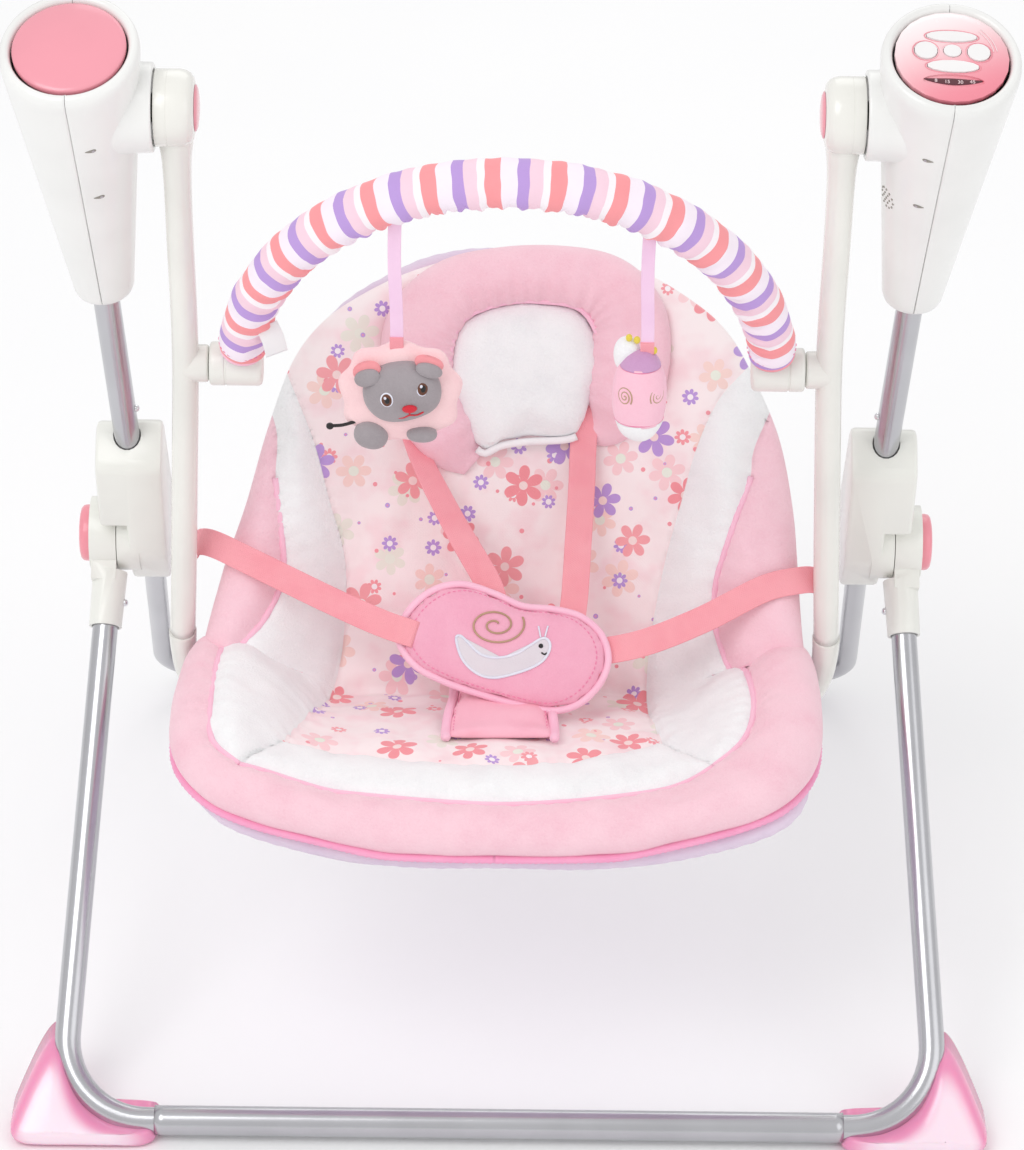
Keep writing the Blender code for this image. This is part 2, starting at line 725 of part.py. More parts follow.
# ---------------------------------------------------------------- swing arms


def make_arm():
    """One swing arm: the pivot head, the flattened bar and the toy bar's boss."""
    section = bpy.data.curves.new("arm_section", "CURVE")
    section.dimensions = "2D"
    ring = section.splines.new("POLY")
    ring.use_cyclic_u = True
    sides = 10
    ring.points.add(sides - 1)
    for index, place in enumerate(ring.points):
        angle = math.tau * index / sides
        place.co = (0.0088 * math.cos(angle), 0.0118 * math.sin(angle), 0, 1)
    guide = add(bpy.data.objects.new("arm_section", section))
    guide.hide_render = True
    guide.display_type = "WIRE"
    bar = tube("arm", smooth_path(ARM_LINE, 3), 0.01)
    bar.data.bevel_mode = "OBJECT"
    bar.data.bevel_object = guide
    bar = baked(bar)
    bpy.data.objects.remove(guide, do_unlink=True)
    head = rounded(drum("head", 0.198, COLLAR_INNER - 0.0006, PIVOT, 0.0247, sides=20), 0.004, 1)
    boss = drum("boss", 0.1962, 0.2115, TOY_AXIS, 0.0125)
    arm = joined(head, bar, boss)
    arm.name = "swing_arm"
    axle_bore = drum("axle_bore", 0.207, 0.24, PIVOT, 0.0053)
    stud_bore = drum("stud_bore", 0.19, 0.2068, TOY_AXIS, 0.0044, sides=16)
    return cut(arm, axle_bore, stud_bore)


def make_arm_end():
    """The fitting at the foot of an arm that grips both seat hoops."""
    sleeve = baked(tube("arm_end", smooth_path(ARM_END_LINE, 3), 0.0086))
    barrel = drum("barrel", 0.1945, 0.2145, HOOP_JOINT, 0.016)
    body = joined(sleeve, barrel)
    front = hoop_path(FRONT_HOOP)[:3]
    back = hoop_path(BACK_HOOP)[:3]
    bores = []
    for name, path in (("front_bore", front), ("back_bore", back)):
        ahead = (path[1] - path[0]).normalized()
        bores.append(cylinder(name, path[0] - ahead * 0.003, path[0] + ahead * 0.04, HOOP_RADIUS + 0.0006))
    return cut(body, *bores)


def make_arms(build):
    build.pair(make_arm(), "pearl_plastic", "swing")
    build.pair(drum("pivot_cap", 0.1958, 0.198 - GAP, PIVOT, 0.015), "pink_plastic", "swing")
    build.pair(drum("pivot_axle", 0.2075, 0.26, PIVOT, 0.005, sides=16), "steel", "swing")
    build.pair(make_arm_end(), "white_plastic", "swing")


# ---------------------------------------------------------------- seat


def seat_frame(station):
    """The seat's middle line at a station: point, along, normal, half width and side rise."""
    last = len(SEAT) - 1
    low = min(int(station), last - 1)
    part = station - low
    rows = [Vector(SEAT[min(max(low + step, 0), last)]) for step in (-1, 0, 1, 2)]
    before, first, second, after = rows
    value = 0.5 * (
        2 * first
        + (second - before) * part
        + (2 * before - 5 * first + 4 * second - after) * part**2
        + (3 * first - before - 3 * second + after) * part**3
    )
    slope = 0.5 * (
        (second - before)
        + 2 * (2 * before - 5 * first + 4 * second - after) * part
        + 3 * (3 * first - before - 3 * second + after) * part**2
    )
    along = Vector((0, slope[0], slope[1])).normalized()
    normal = X_AXIS.cross(along)
    return Vector((0, value[0], value[1])), along, normal, value[2], value[3]


def side_rise(share, rise):
    """How far the seat's surface stands up at a share of its half width."""
    part = min(1.0, max(0.0, (abs(share) - 0.52) / 0.4))
    return rise * part * part * (3 - 2 * part)


def seat_point(station, share, height):
    """A point over the seat's surface, at a share of its half width."""
    middle, _, normal, half, rise = seat_frame(station)
    return middle + X_AXIS * (half * share) + normal * (side_rise(share, rise) + height)


def seat_slab(name, stations, shares, low, high):
    """A solid that follows the seat's surface between two heights over it."""
    rings = []
    for station in stations:
        upper = [seat_point(station, share, high) for share in shares]
        lower = [seat_point(station, share, low) for share in shares[::-1]]
        rings.append(upper + lower)
    return loft(name, rings)


def spread(low, high, count):
    return [low + (high - low) * step / (count - 1) for step in range(count)]


def hoop_path(route):
    """A smooth U-shaped path under the pad's rim, from the right arm round to the left one."""
    half = [seat_point(station, share, -PAD_THICKNESS - drop) for station, share, drop in route]
    half[0].yz = HOOP_JOINT.yz + (half[1].yz - HOOP_JOINT.yz).normalized() * 0.0066
    half[0].x = HOOP_JOINT.x
    other = [Vector((-p.x, p.y, p.z)) for p in reversed(half[:-1])]
    return smooth_path(half + other, 2)


def strap(name, points, width, thickness, facing):
    """A flat strap along a path, turned so that its face looks along the given direction."""
    path = [Vector(point) for point in points]
    rings = []
    for index, point in enumerate(path):
        ahead = path[min(index + 1, len(path) - 1)] - path[max(index - 1, 0)]
        aside = ahead.cross(Vector(facing)).normalized() * (width / 2)
        up = aside.cross(ahead).normalized() * (thickness / 2)
        rings.append([point + aside + up, point - aside + up, point - aside - up, point + aside - up])
    return loft(name, rings)


def make_harness(build):
    turn = Matrix(((1, 0, 0), (0, 0.64, -0.77), (0, 0.77, 0.64)))
    belly = ball("belly_pad", BELLY_CENTRE, BELLY_RADII, turn, 16, 8)
    belly = joined(belly, strap("crotch_tab", CROTCH_LINE, 0.072, 0.009, (0, 0, 1)))
    build.place(belly, "pink_plush", "swing")
    for name, line in STRAPS.items():
        build.place(strap(name, line, STRAP_WIDTH, STRAP_THICKNESS, HARNESS_FACING), "webbing", "swing")


def make_seat(build):
    edge = [-1.0, -0.94, -0.84, -0.7, -0.52, 0.0]
    shares = edge + [-share for share in reversed(edge[:-1])]
    pad = seat_slab("seat_pad", spread(0, 8, 17), shares, -PAD_THICKNESS, 0.0)
    build.place(pad, "pink_plush", "swing")
    sling = seat_slab("seat_sling", spread(1.5, 7, 12), SLING_SHARES, -0.031, -0.0265)
    build.place(sling, "sling_cloth", "swing")
    pillow = seat_slab("head_pillow", spread(6.15, 7.7, 5), spread(-0.5, 0.5, 5), 0.0025, 0.024)
    build.place(rounded(pillow, 0.006), "pink_plush", "swing")
    build.place(tube("front_hoop", hoop_path(FRONT_HOOP), HOOP_RADIUS, sides=8), "tube_metal", "swing")
    build.place(tube("back_hoop", hoop_path(BACK_HOOP), HOOP_RADIUS, sides=8), "tube_metal", "swing")
    make_harness(build)


# ---------------------------------------------------------------- toy bar and toys


def on_toy_bar(angle):
    """A point of the arch's middle line, from 0 at the right hub to pi at the left one."""
    rise = TOY_BAR_HEIGHT * math.sin(angle)
    return TOY_AXIS + Vector(
        (
            TOY_BAR_HALF * math.cos(angle),
            -rise * math.sin(TOY_BAR_LEAN),
            rise * math.cos(TOY_BAR_LEAN),
        )
    )


def make_toy_bar(build):
    barrel = rounded(drum("toy_bar_hub", 0.1605, 0.1957, TOY_AXIS, 0.0145), 0.002, 1)
    stud = drum("stud", 0.194, 0.206, TOY_AXIS, 0.004, sides=16)
    start = TOY_AXIS + X_AXIS * TOY_BAR_HALF
    up = (on_toy_bar(0.1) - on_toy_bar(-0.1)).normalized()
    bore = cylinder("bore", start - up * 0.002, start + up * 0.03, CORE_RADIUS + 0.0018)
    build.pair(cut(joined(barrel, stud), bore), "white_plastic", "toy_bar")
    core = [on_toy_bar(angle) for angle in spread(0, math.pi, 17)]
    build.place(tube("toy_bar_tube", core, CORE_RADIUS, sides=8), "steel", "toy_bar")
    first = 0.105
    cloth = [on_toy_bar(angle) for angle in spread(first, math.pi - first, 17)]
    sleeve = tube("toy_bar_sleeve", cloth, SLEEVE_RADIUS, wall=SLEEVE_RADIUS - CORE_RADIUS - 0.0016, sides=10)
    build.place(sleeve, "stripe_cloth", "toy_bar")


def make_toys(build):
    for name, angle, drop, height, radii, finish in TOYS:
        hook = on_toy_bar(angle)
        build.body(name + "_body", hook)
        centre = Vector((hook.x, hook.y, height))
        top = hook.z - drop
        foot = height + radii[2] * 0.8
        ribbon_size = (RIBBON_WIDTH, RIBBON_THICKNESS, top - foot)
        middle = Matrix.Translation((hook.x, hook.y, (top + foot) / 2))
        toy = joined(ball(name, centre, radii), block("ribbon", middle, ribbon_size))
        build.place(toy, finish, name + "_body")


# ---------------------------------------------------------------- the whole swing


def main():
    clear_scene()
    build = Assembly(new_collection("baby_swing"), make_materials())
    build.body("stand", (0, 0, 0))
    build.body("front_frame", FOLD_AXIS)
    for name, sign in (("fold_button_right", 1), ("fold_button_left", -1)):
        build.body(name + "_body", FOLD_AXIS + X_AXIS * 0.298 * sign, known_as=name)
    build.body("swing", PIVOT)
    build.body("toy_bar", TOY_AXIS)
    make_stand(build)
    make_front_frame(build)
    make_housings(build)
    make_arms(build)
    make_seat(build)
    make_toy_bar(build)
    make_toys(build)


main()
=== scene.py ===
"""Looks of a folding electric baby swing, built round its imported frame.

Metres, +Z up, the front of the swing faces -Y. Each sub-assembly is a class that builds its own pieces
and dresses the frame's nodes that belong to it.
"""

from __future__ import annotations

import logging  # noqa: E402
import math  # noqa: E402
from collections.abc import Sequence  # noqa: E402
from dataclasses import dataclass, field  # noqa: E402
from enum import Enum  # noqa: E402

import bmesh  # noqa: E402
import bpy  # noqa: E402
import numpy as np  # noqa: E402
from mathutils import Matrix, Vector  # noqa: E402


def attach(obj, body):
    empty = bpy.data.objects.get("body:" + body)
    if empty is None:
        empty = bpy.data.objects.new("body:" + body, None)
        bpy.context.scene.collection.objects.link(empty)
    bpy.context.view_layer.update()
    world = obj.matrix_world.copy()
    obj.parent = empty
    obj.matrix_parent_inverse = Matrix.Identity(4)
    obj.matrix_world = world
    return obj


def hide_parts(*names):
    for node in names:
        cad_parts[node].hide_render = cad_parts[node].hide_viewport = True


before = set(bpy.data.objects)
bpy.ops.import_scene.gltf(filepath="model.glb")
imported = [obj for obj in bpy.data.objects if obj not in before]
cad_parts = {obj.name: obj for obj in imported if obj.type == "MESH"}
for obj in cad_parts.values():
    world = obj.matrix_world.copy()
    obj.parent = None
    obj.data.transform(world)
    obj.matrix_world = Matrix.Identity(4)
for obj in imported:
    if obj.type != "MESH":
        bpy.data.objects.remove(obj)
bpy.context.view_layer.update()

LOG = logging.getLogger("baby_swing")
Socket = bpy.types.NodeSocket
Colour = tuple[float, float, float, float]
TAU = math.tau
# Outlines and routes, as rows of two, three or four numbers.
Rows2 = tuple[tuple[float, float], ...]
Rows3 = tuple[tuple[float, float, float], ...]
Rows4 = tuple[tuple[float, float, float, float], ...]


class Body(Enum):
    """The frame's moving bodies that new pieces ride on."""

    STAND = "stand"
    FRONT_FRAME = "front_frame"
    BUTTON_LEFT = "fold_button_left"
    BUTTON_RIGHT = "fold_button_right"
    SWING = "swing"
    TOY_BAR = "toy_bar"
    BEAR = "bear_toy"
    EGG = "egg_toy"


class Side(Enum):
    """Which side of the swing a mirrored piece is on, as the sign of its X."""

    LEFT = -1
    RIGHT = 1

    @property
    def word(self) -> str:
        """The side's name as it stands in piece names."""
        return self.name.lower()


# ---------------------------------------------------------------- material kit


def srgb(red: float, green: float, blue: float) -> Colour:
    """The linear colour of three display values from 0 to 255.

    Args:
        red, green, blue: the display values.

    Returns:
        The colour as linear light, with full alpha.
    """

    def linear(value: float) -> float:
        share = value / 255
        return share / 12.92 if share <= 0.04045 else ((share + 0.055) / 1.055) ** 2.4

    return (linear(red), linear(green), linear(blue), 1.0)


def shade_of(colour: Colour, share: float) -> Colour:
    """The colour darkened to a share of its light."""
    return tuple(value * share for value in colour[:3]) + (1.0,)


class Recipe:
    """A material made node by node around one Principled shader."""

    def __init__(self, name: str, **shader: object) -> None:
        """Args:
        name: the material's name.
        shader: the shader's sockets, with underscores for spaces.
        """
        self.material = bpy.data.materials.new(name)
        self.material.use_nodes = True
        self.tree = self.material.node_tree
        self.shader = self.tree.nodes["Principled BSDF"]
        self.set(**shader)

    def feed(self, socket: Socket, value: object) -> None:
        """Link a socket to the value, or give it the value."""
        if isinstance(value, Socket):
            self.tree.links.new(value, socket)
        else:
            socket.default_value = value

    def set(self, **shader: object) -> None:
        """Feed the shader's sockets by name."""
        for key, value in shader.items():
            self.feed(self.shader.inputs[key.replace("_", " ").title().replace("Ior", "IOR")], value)

    def node(
        self, kind: str, inputs: dict[int | str, object], out: int | str = 0, **settings: object
    ) -> Socket:
        """Add one node.

        Args:
            kind: the node's type, without its prefix.
            inputs: values or sockets by input name or number.
            out: which output to return.
            settings: the node's own options.

        Returns:
            The chosen output.
        """
        made = self.tree.nodes.new("ShaderNode" + kind)
        for key, value in settings.items():
            setattr(made, key, value)
        for key, value in inputs.items():
            self.feed(made.inputs[key], value)
        return made.outputs[out]

    def math(self, operation: str, *values: object) -> Socket:
        """One sum on numbers."""
        return self.node("Math", dict(enumerate(values)), operation=operation)

    def vector(self, operation: str, *values: object, out: int = 0) -> Socket:
        """One sum on vectors."""
        return self.node("VectorMath", dict(enumerate(values)), out, operation=operation)

    def scaled(self, where: Socket, factor: float) -> Socket:
        """The vector times a number."""
        return self.node("VectorMath", {0: where, "Scale": factor}, operation="SCALE")

    def step(self, value: Socket, low: float, high: float) -> Socket:
        """A smooth rise from 0 at low to 1 at high."""
        inputs = {"Value": value, "From Min": low, "From Max": high}
        return self.node("MapRange", inputs, interpolation_type="SMOOTHSTEP")

    def between(self, value: Socket, low: float, high: float) -> Socket:
        """The range from low to high for a value from 0 to 1."""
        return self.node("MapRange", {"Value": value, "To Min": low, "To Max": high})

    def mix(self, share: object, first: object, second: object) -> Socket:
        """A colour from the first, at share 0, to the second, at share 1."""
        return self.node("Mix", {0: share, 6: first, 7: second}, 2, data_type="RGBA")

    def blend(self, share: object, first: object, second: object) -> Socket:
        """A number from the first, at share 0, to the second, at share 1."""
        return self.node("Mix", {0: share, 2: first, 3: second}, data_type="FLOAT")

    def place(self) -> Socket:
        """The point of the surface, in metres."""
        return self.node("TexCoord", {}, "Object")

    def cloth(self) -> Socket:
        """The point on the flat cloth, in metres."""
        return self.node("UVMap", {}, uv_map="cloth")

    def noise(self, where: Socket, scale: float, detail: float = 2.0, roughness: float = 0.5) -> Socket:
        """Soft random cloud from 0 to 1."""
        return self.node(
            "TexNoise", {"Vector": where, "Scale": scale, "Detail": detail, "Roughness": roughness}
        )

    def parts(self, where: Socket) -> Sequence[Socket]:
        """The vector's three numbers."""
        made = self.tree.nodes.new("ShaderNodeSeparateXYZ")
        self.feed(made.inputs[0], where)
        return made.outputs

    def bands(self, value: Socket, stops: Sequence[tuple[float, Colour]]) -> Socket:
        """The colour of the last stop that a value from 0 to 1 has reached."""
        ramp = self.tree.nodes.new("ShaderNodeValToRGB")
        ramp.color_ramp.interpolation = "CONSTANT"
        elements = ramp.color_ramp.elements
        for index, (spot, colour) in enumerate(stops):
            stop = elements[0] if index == 0 else elements.new(spot)
            stop.position, stop.color = spot, colour
        elements.remove(elements[-1])
        self.feed(ramp.inputs[0], value)
        return ramp.outputs[0]

    def attribute(self, name: str) -> Socket:
        """A number stored on the mesh."""
        return self.node("Attribute", {}, "Fac", attribute_name=name)

    def bump(self, height: Socket, depth: float, strength: float = 1.0) -> None:
        """Raise the surface by the height, in shares of the depth in metres."""
        made = self.node("Bump", {"Height": height, "Distance": depth, "Strength": strength}, "Normal")
        self.set(normal=made)


class Finish(Enum):
    """Every finish of the swing."""

    HOUSING = "housing_white"
    PEARL = "arm_pearl"
    JOINT = "joint_white"
    PINK_CAP = "cap_pink"
    BUTTON = "button_pink"
    FOOT = "foot_pink"
    PANEL = "panel_pink"
    KEY = "key_white"
    WINDOW = "window_maroon"
    NUMERAL = "numeral_pale"
    TUBE = "tube_grey"
    STEEL = "steel"
    BOARD = "circuit_green"
    BLACK = "black_plastic"
    COVER = "seat_cover"
    PLUSH = "pink_plush"
    VELOUR = "white_velour"
    LILAC = "lilac_lining"
    PIPING = "pink_piping"
    WHITE_PIPING = "white_piping"
    BINDING = "ribbed_binding"
    WEBBING = "coral_webbing"
    RIBBON = "lilac_ribbon"
    STRIPES = "striped_cotton"
    BELLY = "belly_velvet"
    CROTCH = "crotch_cotton"
    GREY_FUR = "grey_velboa"
    MANE = "mane_felt"
    BLUSH = "blush_satin"
    TAN_THREAD = "tan_thread"
    WHITE_THREAD = "white_thread"
    PINK_THREAD = "pink_thread"
    RED_THREAD = "red_thread"
    DARK_THREAD = "dark_thread"
    BROWN_THREAD = "brown_thread"
    YELLOW_THREAD = "yellow_thread"
    GREY_PATCH = "grey_patch"
    LABEL = "care_label"
    # Painted shade: a dark grey for screw wells, speaker holes and slots.
    SHADOW = "screw_well"
    EGG_PINK = "egg_pink"
    CHROME = "chrome"
    MAUVE = "mauve_plush"


@dataclass(frozen=True)
class Plastic:
    """A moulded plastic with a faint flow pattern and fine skin."""

    colour: Colour
    roughness: float
    coat: float = 0.3
    through: float = 0.0

    def make(self, name: str) -> bpy.types.Material:
        """Returns the material."""
        made = Recipe(name, coat_weight=self.coat, coat_roughness=0.12, subsurface_weight=self.through)
        where = made.place()
        flow = made.noise(where, 14, 3)
        dust = made.noise(where, 240, 2)
        darker = shade_of(self.colour, 0.93)
        made.set(
            base_color=made.mix(made.step(flow, 0.3, 0.75), self.colour, darker),
            roughness=made.between(dust, self.roughness - 0.015, self.roughness + 0.02),
        )
        if self.through:
            made.set(subsurface_radius=(0.012, 0.006, 0.005))
        made.bump(made.noise(where, 500, 1), 0.000008)
        return made.material


@dataclass(frozen=True)
class FootPlastic:
    """A half-clear pink plastic, deeper pink towards its edges, with a painted highlight paler in its middle.
    """

    # pale is the colour of the painted highlight in the middle, deep the pink towards the edges.
    pale: Colour = srgb(252, 226, 238)
    deep: Colour = srgb(240, 146, 186)

    def make(self, name: str) -> bpy.types.Material:
        """Returns the material."""
        made = Recipe(name, coat_weight=0.5, coat_roughness=0.1, subsurface_weight=0.15)
        where = made.place()
        # Away from the edge the colour turns pale: a painted highlight.
        edge = made.attribute("edge")
        cloud = made.noise(where, 26, 2)
        share = made.step(made.math("ADD", edge, made.between(cloud, -0.1, 0.1)), 0.15, 0.85)
        made.set(
            base_color=made.mix(share, self.pale, self.deep),
            roughness=made.between(made.noise(where, 300), 0.16, 0.26),
        )
        made.bump(made.noise(where, 900, 1), 0.00003)
        return made.material


@dataclass(frozen=True)
class Metal:
    """A drawn tube or a steel part, with lines along it."""

    colour: Colour
    roughness: float

    def make(self, name: str) -> bpy.types.Material:
        """Returns the material."""
        made = Recipe(name, metallic=1.0)
        where = made.place()
        grain = made.node("Mapping", {"Vector": where, "Scale": (900.0, 900.0, 12.0)})
        lines = made.noise(grain, 1, 3)
        patch = made.noise(where, 20, 3)
        darker = shade_of(self.colour, 0.92)
        made.set(
            base_color=made.mix(made.step(patch, 0.3, 0.8), self.colour, darker),
            roughness=made.between(lines, self.roughness - 0.02, self.roughness + 0.04),
        )
        made.bump(lines, 0.000005)
        return made.material


@dataclass(frozen=True)
class Pile:
    """A short-pile cloth such as plush, velour, velboa or felt."""

    colour: Colour
    shade: Colour
    sheen: float = 0.35
    nap: float = 0.0008
    scale: float = 700.0

    def make(self, name: str) -> bpy.types.Material:
        """Returns the material."""
        made = Recipe(name, sheen_weight=self.sheen, sheen_roughness=0.45)
        where = made.place()
        nap = made.noise(where, self.scale, 3, 0.65)
        strokes = made.noise(where, 38, 3, 0.6)
        share = made.math("ADD", made.between(strokes, -0.25, 0.7), made.between(nap, -0.2, 0.3))
        made.set(
            base_color=made.mix(made.step(share, 0.0, 1.0), self.colour, self.shade),
            roughness=made.between(nap, 0.82, 1.0),
        )
        made.bump(nap, self.nap, 0.8)
        return made.material


@dataclass(frozen=True)
class Weave:
    """A plain woven cloth, or ribbed webbing, on the piece's flat cloth plan."""

    colour: Colour
    shade: Colour
    pitch: tuple[float, float] = (0.0009, 0.0009)
    depth: float = 0.0002
    sheen: float = 0.15
    gloss: float = 0.75

    def make(self, name: str) -> bpy.types.Material:
        """Returns the material."""
        made = Recipe(name, sheen_weight=self.sheen, sheen_roughness=0.4)
        along, across = made.parts(made.cloth())[:2]
        warp = made.math("SINE", made.math("MULTIPLY", along, TAU / self.pitch[0]))
        weft = made.math("SINE", made.math("MULTIPLY", across, TAU / self.pitch[1]))
        thread = made.between(made.math("MULTIPLY", warp, weft), 0.5, 1.0)
        cloud = made.noise(made.place(), 45, 3)
        share = made.math("ADD", made.between(cloud, -0.3, 0.6), made.math("MULTIPLY", thread, 0.35))
        made.set(
            base_color=made.mix(made.step(share, 0.1, 1.0), self.colour, self.shade),
            roughness=made.between(thread, self.gloss - 0.08, self.gloss + 0.08),
        )
        made.bump(thread, self.depth)
        return made.material


@dataclass(frozen=True)
class Stripes:
    """Cotton with stripes across the piece's length, darkened in soft patches as painted fold shade."""

    repeat: float = 0.0395
    bands: tuple[tuple[float, Colour], ...] = (
        (0.0, srgb(190, 158, 222)),
        (0.19, srgb(250, 240, 250)),
        (0.44, srgb(250, 158, 162)),
        (0.68, srgb(252, 246, 250)),
        (0.80, srgb(248, 214, 228)),
    )

    def make(self, name: str) -> bpy.types.Material:
        """Returns the material."""
        made = Recipe(name, sheen_weight=0.15, sheen_roughness=0.4)
        where = made.cloth()
        wander = made.between(made.noise(made.place(), 60, 1), -0.04, 0.04)
        turns = made.math("ADD", made.math("DIVIDE", made.parts(where)[0], self.repeat), wander)
        striped = made.bands(made.math("FRACT", turns), self.bands)
        thread = made.noise(made.scaled(where, 1.0), 1600, 1)
        # Painted shade: soft patches multiplied darker stand for the shade in the sleeve's folds.
        fold = made.noise(made.place(), 90, 2)
        painted_fold_shade = made.mix(fold, (1, 1, 1, 1), srgb(225, 190, 210))
        shaded = made.node("MixRGB", {0: 0.12, 1: striped, 2: painted_fold_shade}, blend_type="MULTIPLY")
        made.set(base_color=shaded, roughness=made.between(thread, 0.75, 0.95))
        made.bump(thread, 0.00015)
        return made.material


@dataclass(frozen=True)
class Blossom:
    """One layer of printed flowers: their cell, size, petals and colours."""

    cell: float
    radius: float
    petals: int
    presence: float
    colours: tuple[Colour, ...]
    heart: Colour
    turn: float
    notch: float = 0.5
    heart_share: float = 0.26


@dataclass(frozen=True)
class SeatCover:
    """The seat's three cloths in one: printed cotton, white velour and pink plush.

    The mesh carries how far each point is inside the printed panel ("print") and inside the piping ("inner").
    """

    plush: Colour = srgb(249, 208, 219)
    plush_shade: Colour = srgb(239, 180, 197)
    velour: Colour = srgb(247, 247, 248)
    velour_shade: Colour = srgb(232, 232, 234)
    cotton: Colour = srgb(254, 240, 241)
    cotton_shade: Colour = srgb(252, 226, 230)
    layers: tuple[Blossom, ...] = (
        Blossom(
            0.041, 0.33, 6, 0.75, (srgb(252, 212, 216), srgb(240, 236, 226), srgb(251, 218, 212)),
            srgb(238, 240, 228), 0.4, 0.35
        ),
        Blossom(
            0.0190, 0.11, 1, 0.40, (srgb(246, 158, 168), srgb(198, 166, 226)), srgb(246, 158, 168), 1.1, 1.0
        ),
        Blossom(
            0.0265, 0.225, 8, 0.46, (srgb(190, 156, 222), srgb(247, 160, 168)), srgb(253, 244, 248), 0.15,
            0.45, 0.34
        ),
        Blossom(
            0.0460, 0.325, 6, 0.72, (srgb(246, 152, 160), srgb(192, 158, 222), srgb(248, 168, 174)),
            srgb(250, 224, 222), 0.85, 0.25, 0.2
        )
    )

    def flower(self, made: Recipe, layer: Blossom) -> tuple[Socket, Socket]:
        """Returns the layer's cover, from 0 to 1, and its colour."""
        turned = made.node(
            "VectorRotate", {"Vector": made.cloth(), "Angle": layer.turn}, rotation_type="Z_AXIS"
        )
        where = made.scaled(turned, 1 / layer.cell)
        cells = made.tree.nodes.new("ShaderNodeTexVoronoi")
        cells.voronoi_dimensions = "2D"
        made.feed(cells.inputs["Vector"], where)
        cells.inputs["Scale"].default_value = 1.0
        cells.inputs["Randomness"].default_value = 0.38
        local = made.vector("SUBTRACT", where, cells.outputs["Position"])
        along, across = made.parts(local)[:2]
        chance = made.tree.nodes.new("ShaderNodeSeparateColor")
        made.feed(chance.inputs[0], cells.outputs["Color"])
        reach = made.vector("LENGTH", local, out=1)
        spin = made.math("MULTIPLY_ADD", chance.outputs[0], TAU, made.math("ARCTAN2", across, along))
        lobe = made.math("ABSOLUTE", made.math("COSINE", made.math("MULTIPLY", spin, layer.petals / 2)))
        lobe = made.math("POWER", lobe, 0.55)
        edge = made.math("MULTIPLY", made.between(lobe, layer.notch, 1.0), layer.radius)
        if layer.petals == 1:
            edge = made.between(chance.outputs[1], layer.radius * 0.6, layer.radius)
        size = made.between(chance.outputs[1], 0.82, 1.0)
        inside = made.step(made.math("SUBTRACT", made.math("MULTIPLY", edge, size), reach), -0.004, 0.008)
        there = made.math(
            "LESS_THAN", made.math("FRACT", made.math("MULTIPLY", chance.outputs[0], 7.3)), layer.presence
        )
        stops = [(index / len(layer.colours), colour) for index, colour in enumerate(layer.colours)]
        petals = made.bands(chance.outputs[2], stops)
        heart = made.math("LESS_THAN", reach, layer.radius * layer.heart_share)
        return made.math("MULTIPLY", inside, there), made.mix(heart, petals, layer.heart)

    def make(self, name: str) -> bpy.types.Material:
        """Returns the material."""
        made = Recipe(name, sheen_weight=0.3, sheen_roughness=0.45)
        where = made.place()
        wash = made.noise(made.cloth(), 42, 2)
        cotton = made.mix(made.step(wash, 0.42, 0.7), self.cotton, self.cotton_shade)
        for layer in self.layers:
            share, colour = self.flower(made, layer)
            cotton = made.mix(share, cotton, colour)
        nap = made.noise(where, 650, 3, 0.65)
        strokes = made.noise(where, 34, 3, 0.6)
        share = made.step(
            made.math("ADD", made.between(strokes, -0.3, 0.75), made.between(nap, -0.2, 0.25)), 0.0, 1.0
        )
        plush = made.mix(share, self.plush, self.plush_shade)
        velour = made.mix(share, self.velour, self.velour_shade)
        inner = made.step(made.attribute("inner"), -0.0004, 0.0004)
        printed = made.step(made.attribute("print"), -0.0004, 0.0004)
        thread = made.node("TexChecker", {"Vector": made.cloth(), "Scale": 900.0}, 1)
        made.set(
            base_color=made.mix(printed, made.mix(inner, plush, velour), cotton),
            roughness=made.between(nap, 0.82, 0.98),
        )
        made.bump(made.blend(printed, nap, made.math("MULTIPLY", thread, 0.12)), 0.0008, 0.75)
        return made.material


@dataclass(frozen=True)
class PanelPlastic:
    """The control panel's plastic: white at its back left, pink at its front right."""

    pale: Colour = srgb(254, 242, 243)
    deep: Colour = srgb(240, 140, 156)

    def make(self, name: str) -> bpy.types.Material:
        """Returns the material."""
        made = Recipe(name, coat_weight=0.5, coat_roughness=0.08)
        local = made.node(
            "Mapping", {"Vector": made.place(), "Location": (-3.836, 1.008, 0.0), "Scale": (14.0, 14.0, 0.0)}
        )
        along, across = made.parts(local)[:2]
        slope = made.math("SUBTRACT", made.math("MULTIPLY", along, 0.45), across)
        share = made.step(slope, -0.5, 0.55)
        made.set(
            base_color=made.mix(share, self.pale, self.deep),
            roughness=made.between(made.noise(made.place(), 200), 0.22, 0.3)
        )
        made.bump(made.noise(made.place(), 1200, 1), 0.00002)
        return made.material


def thread(colour: Colour, shade: Colour) -> Weave:
    """Glossy embroidery thread."""
    return Weave(colour, shade, (0.0006, 0.0009), 0.0002, 0.2, 0.45)


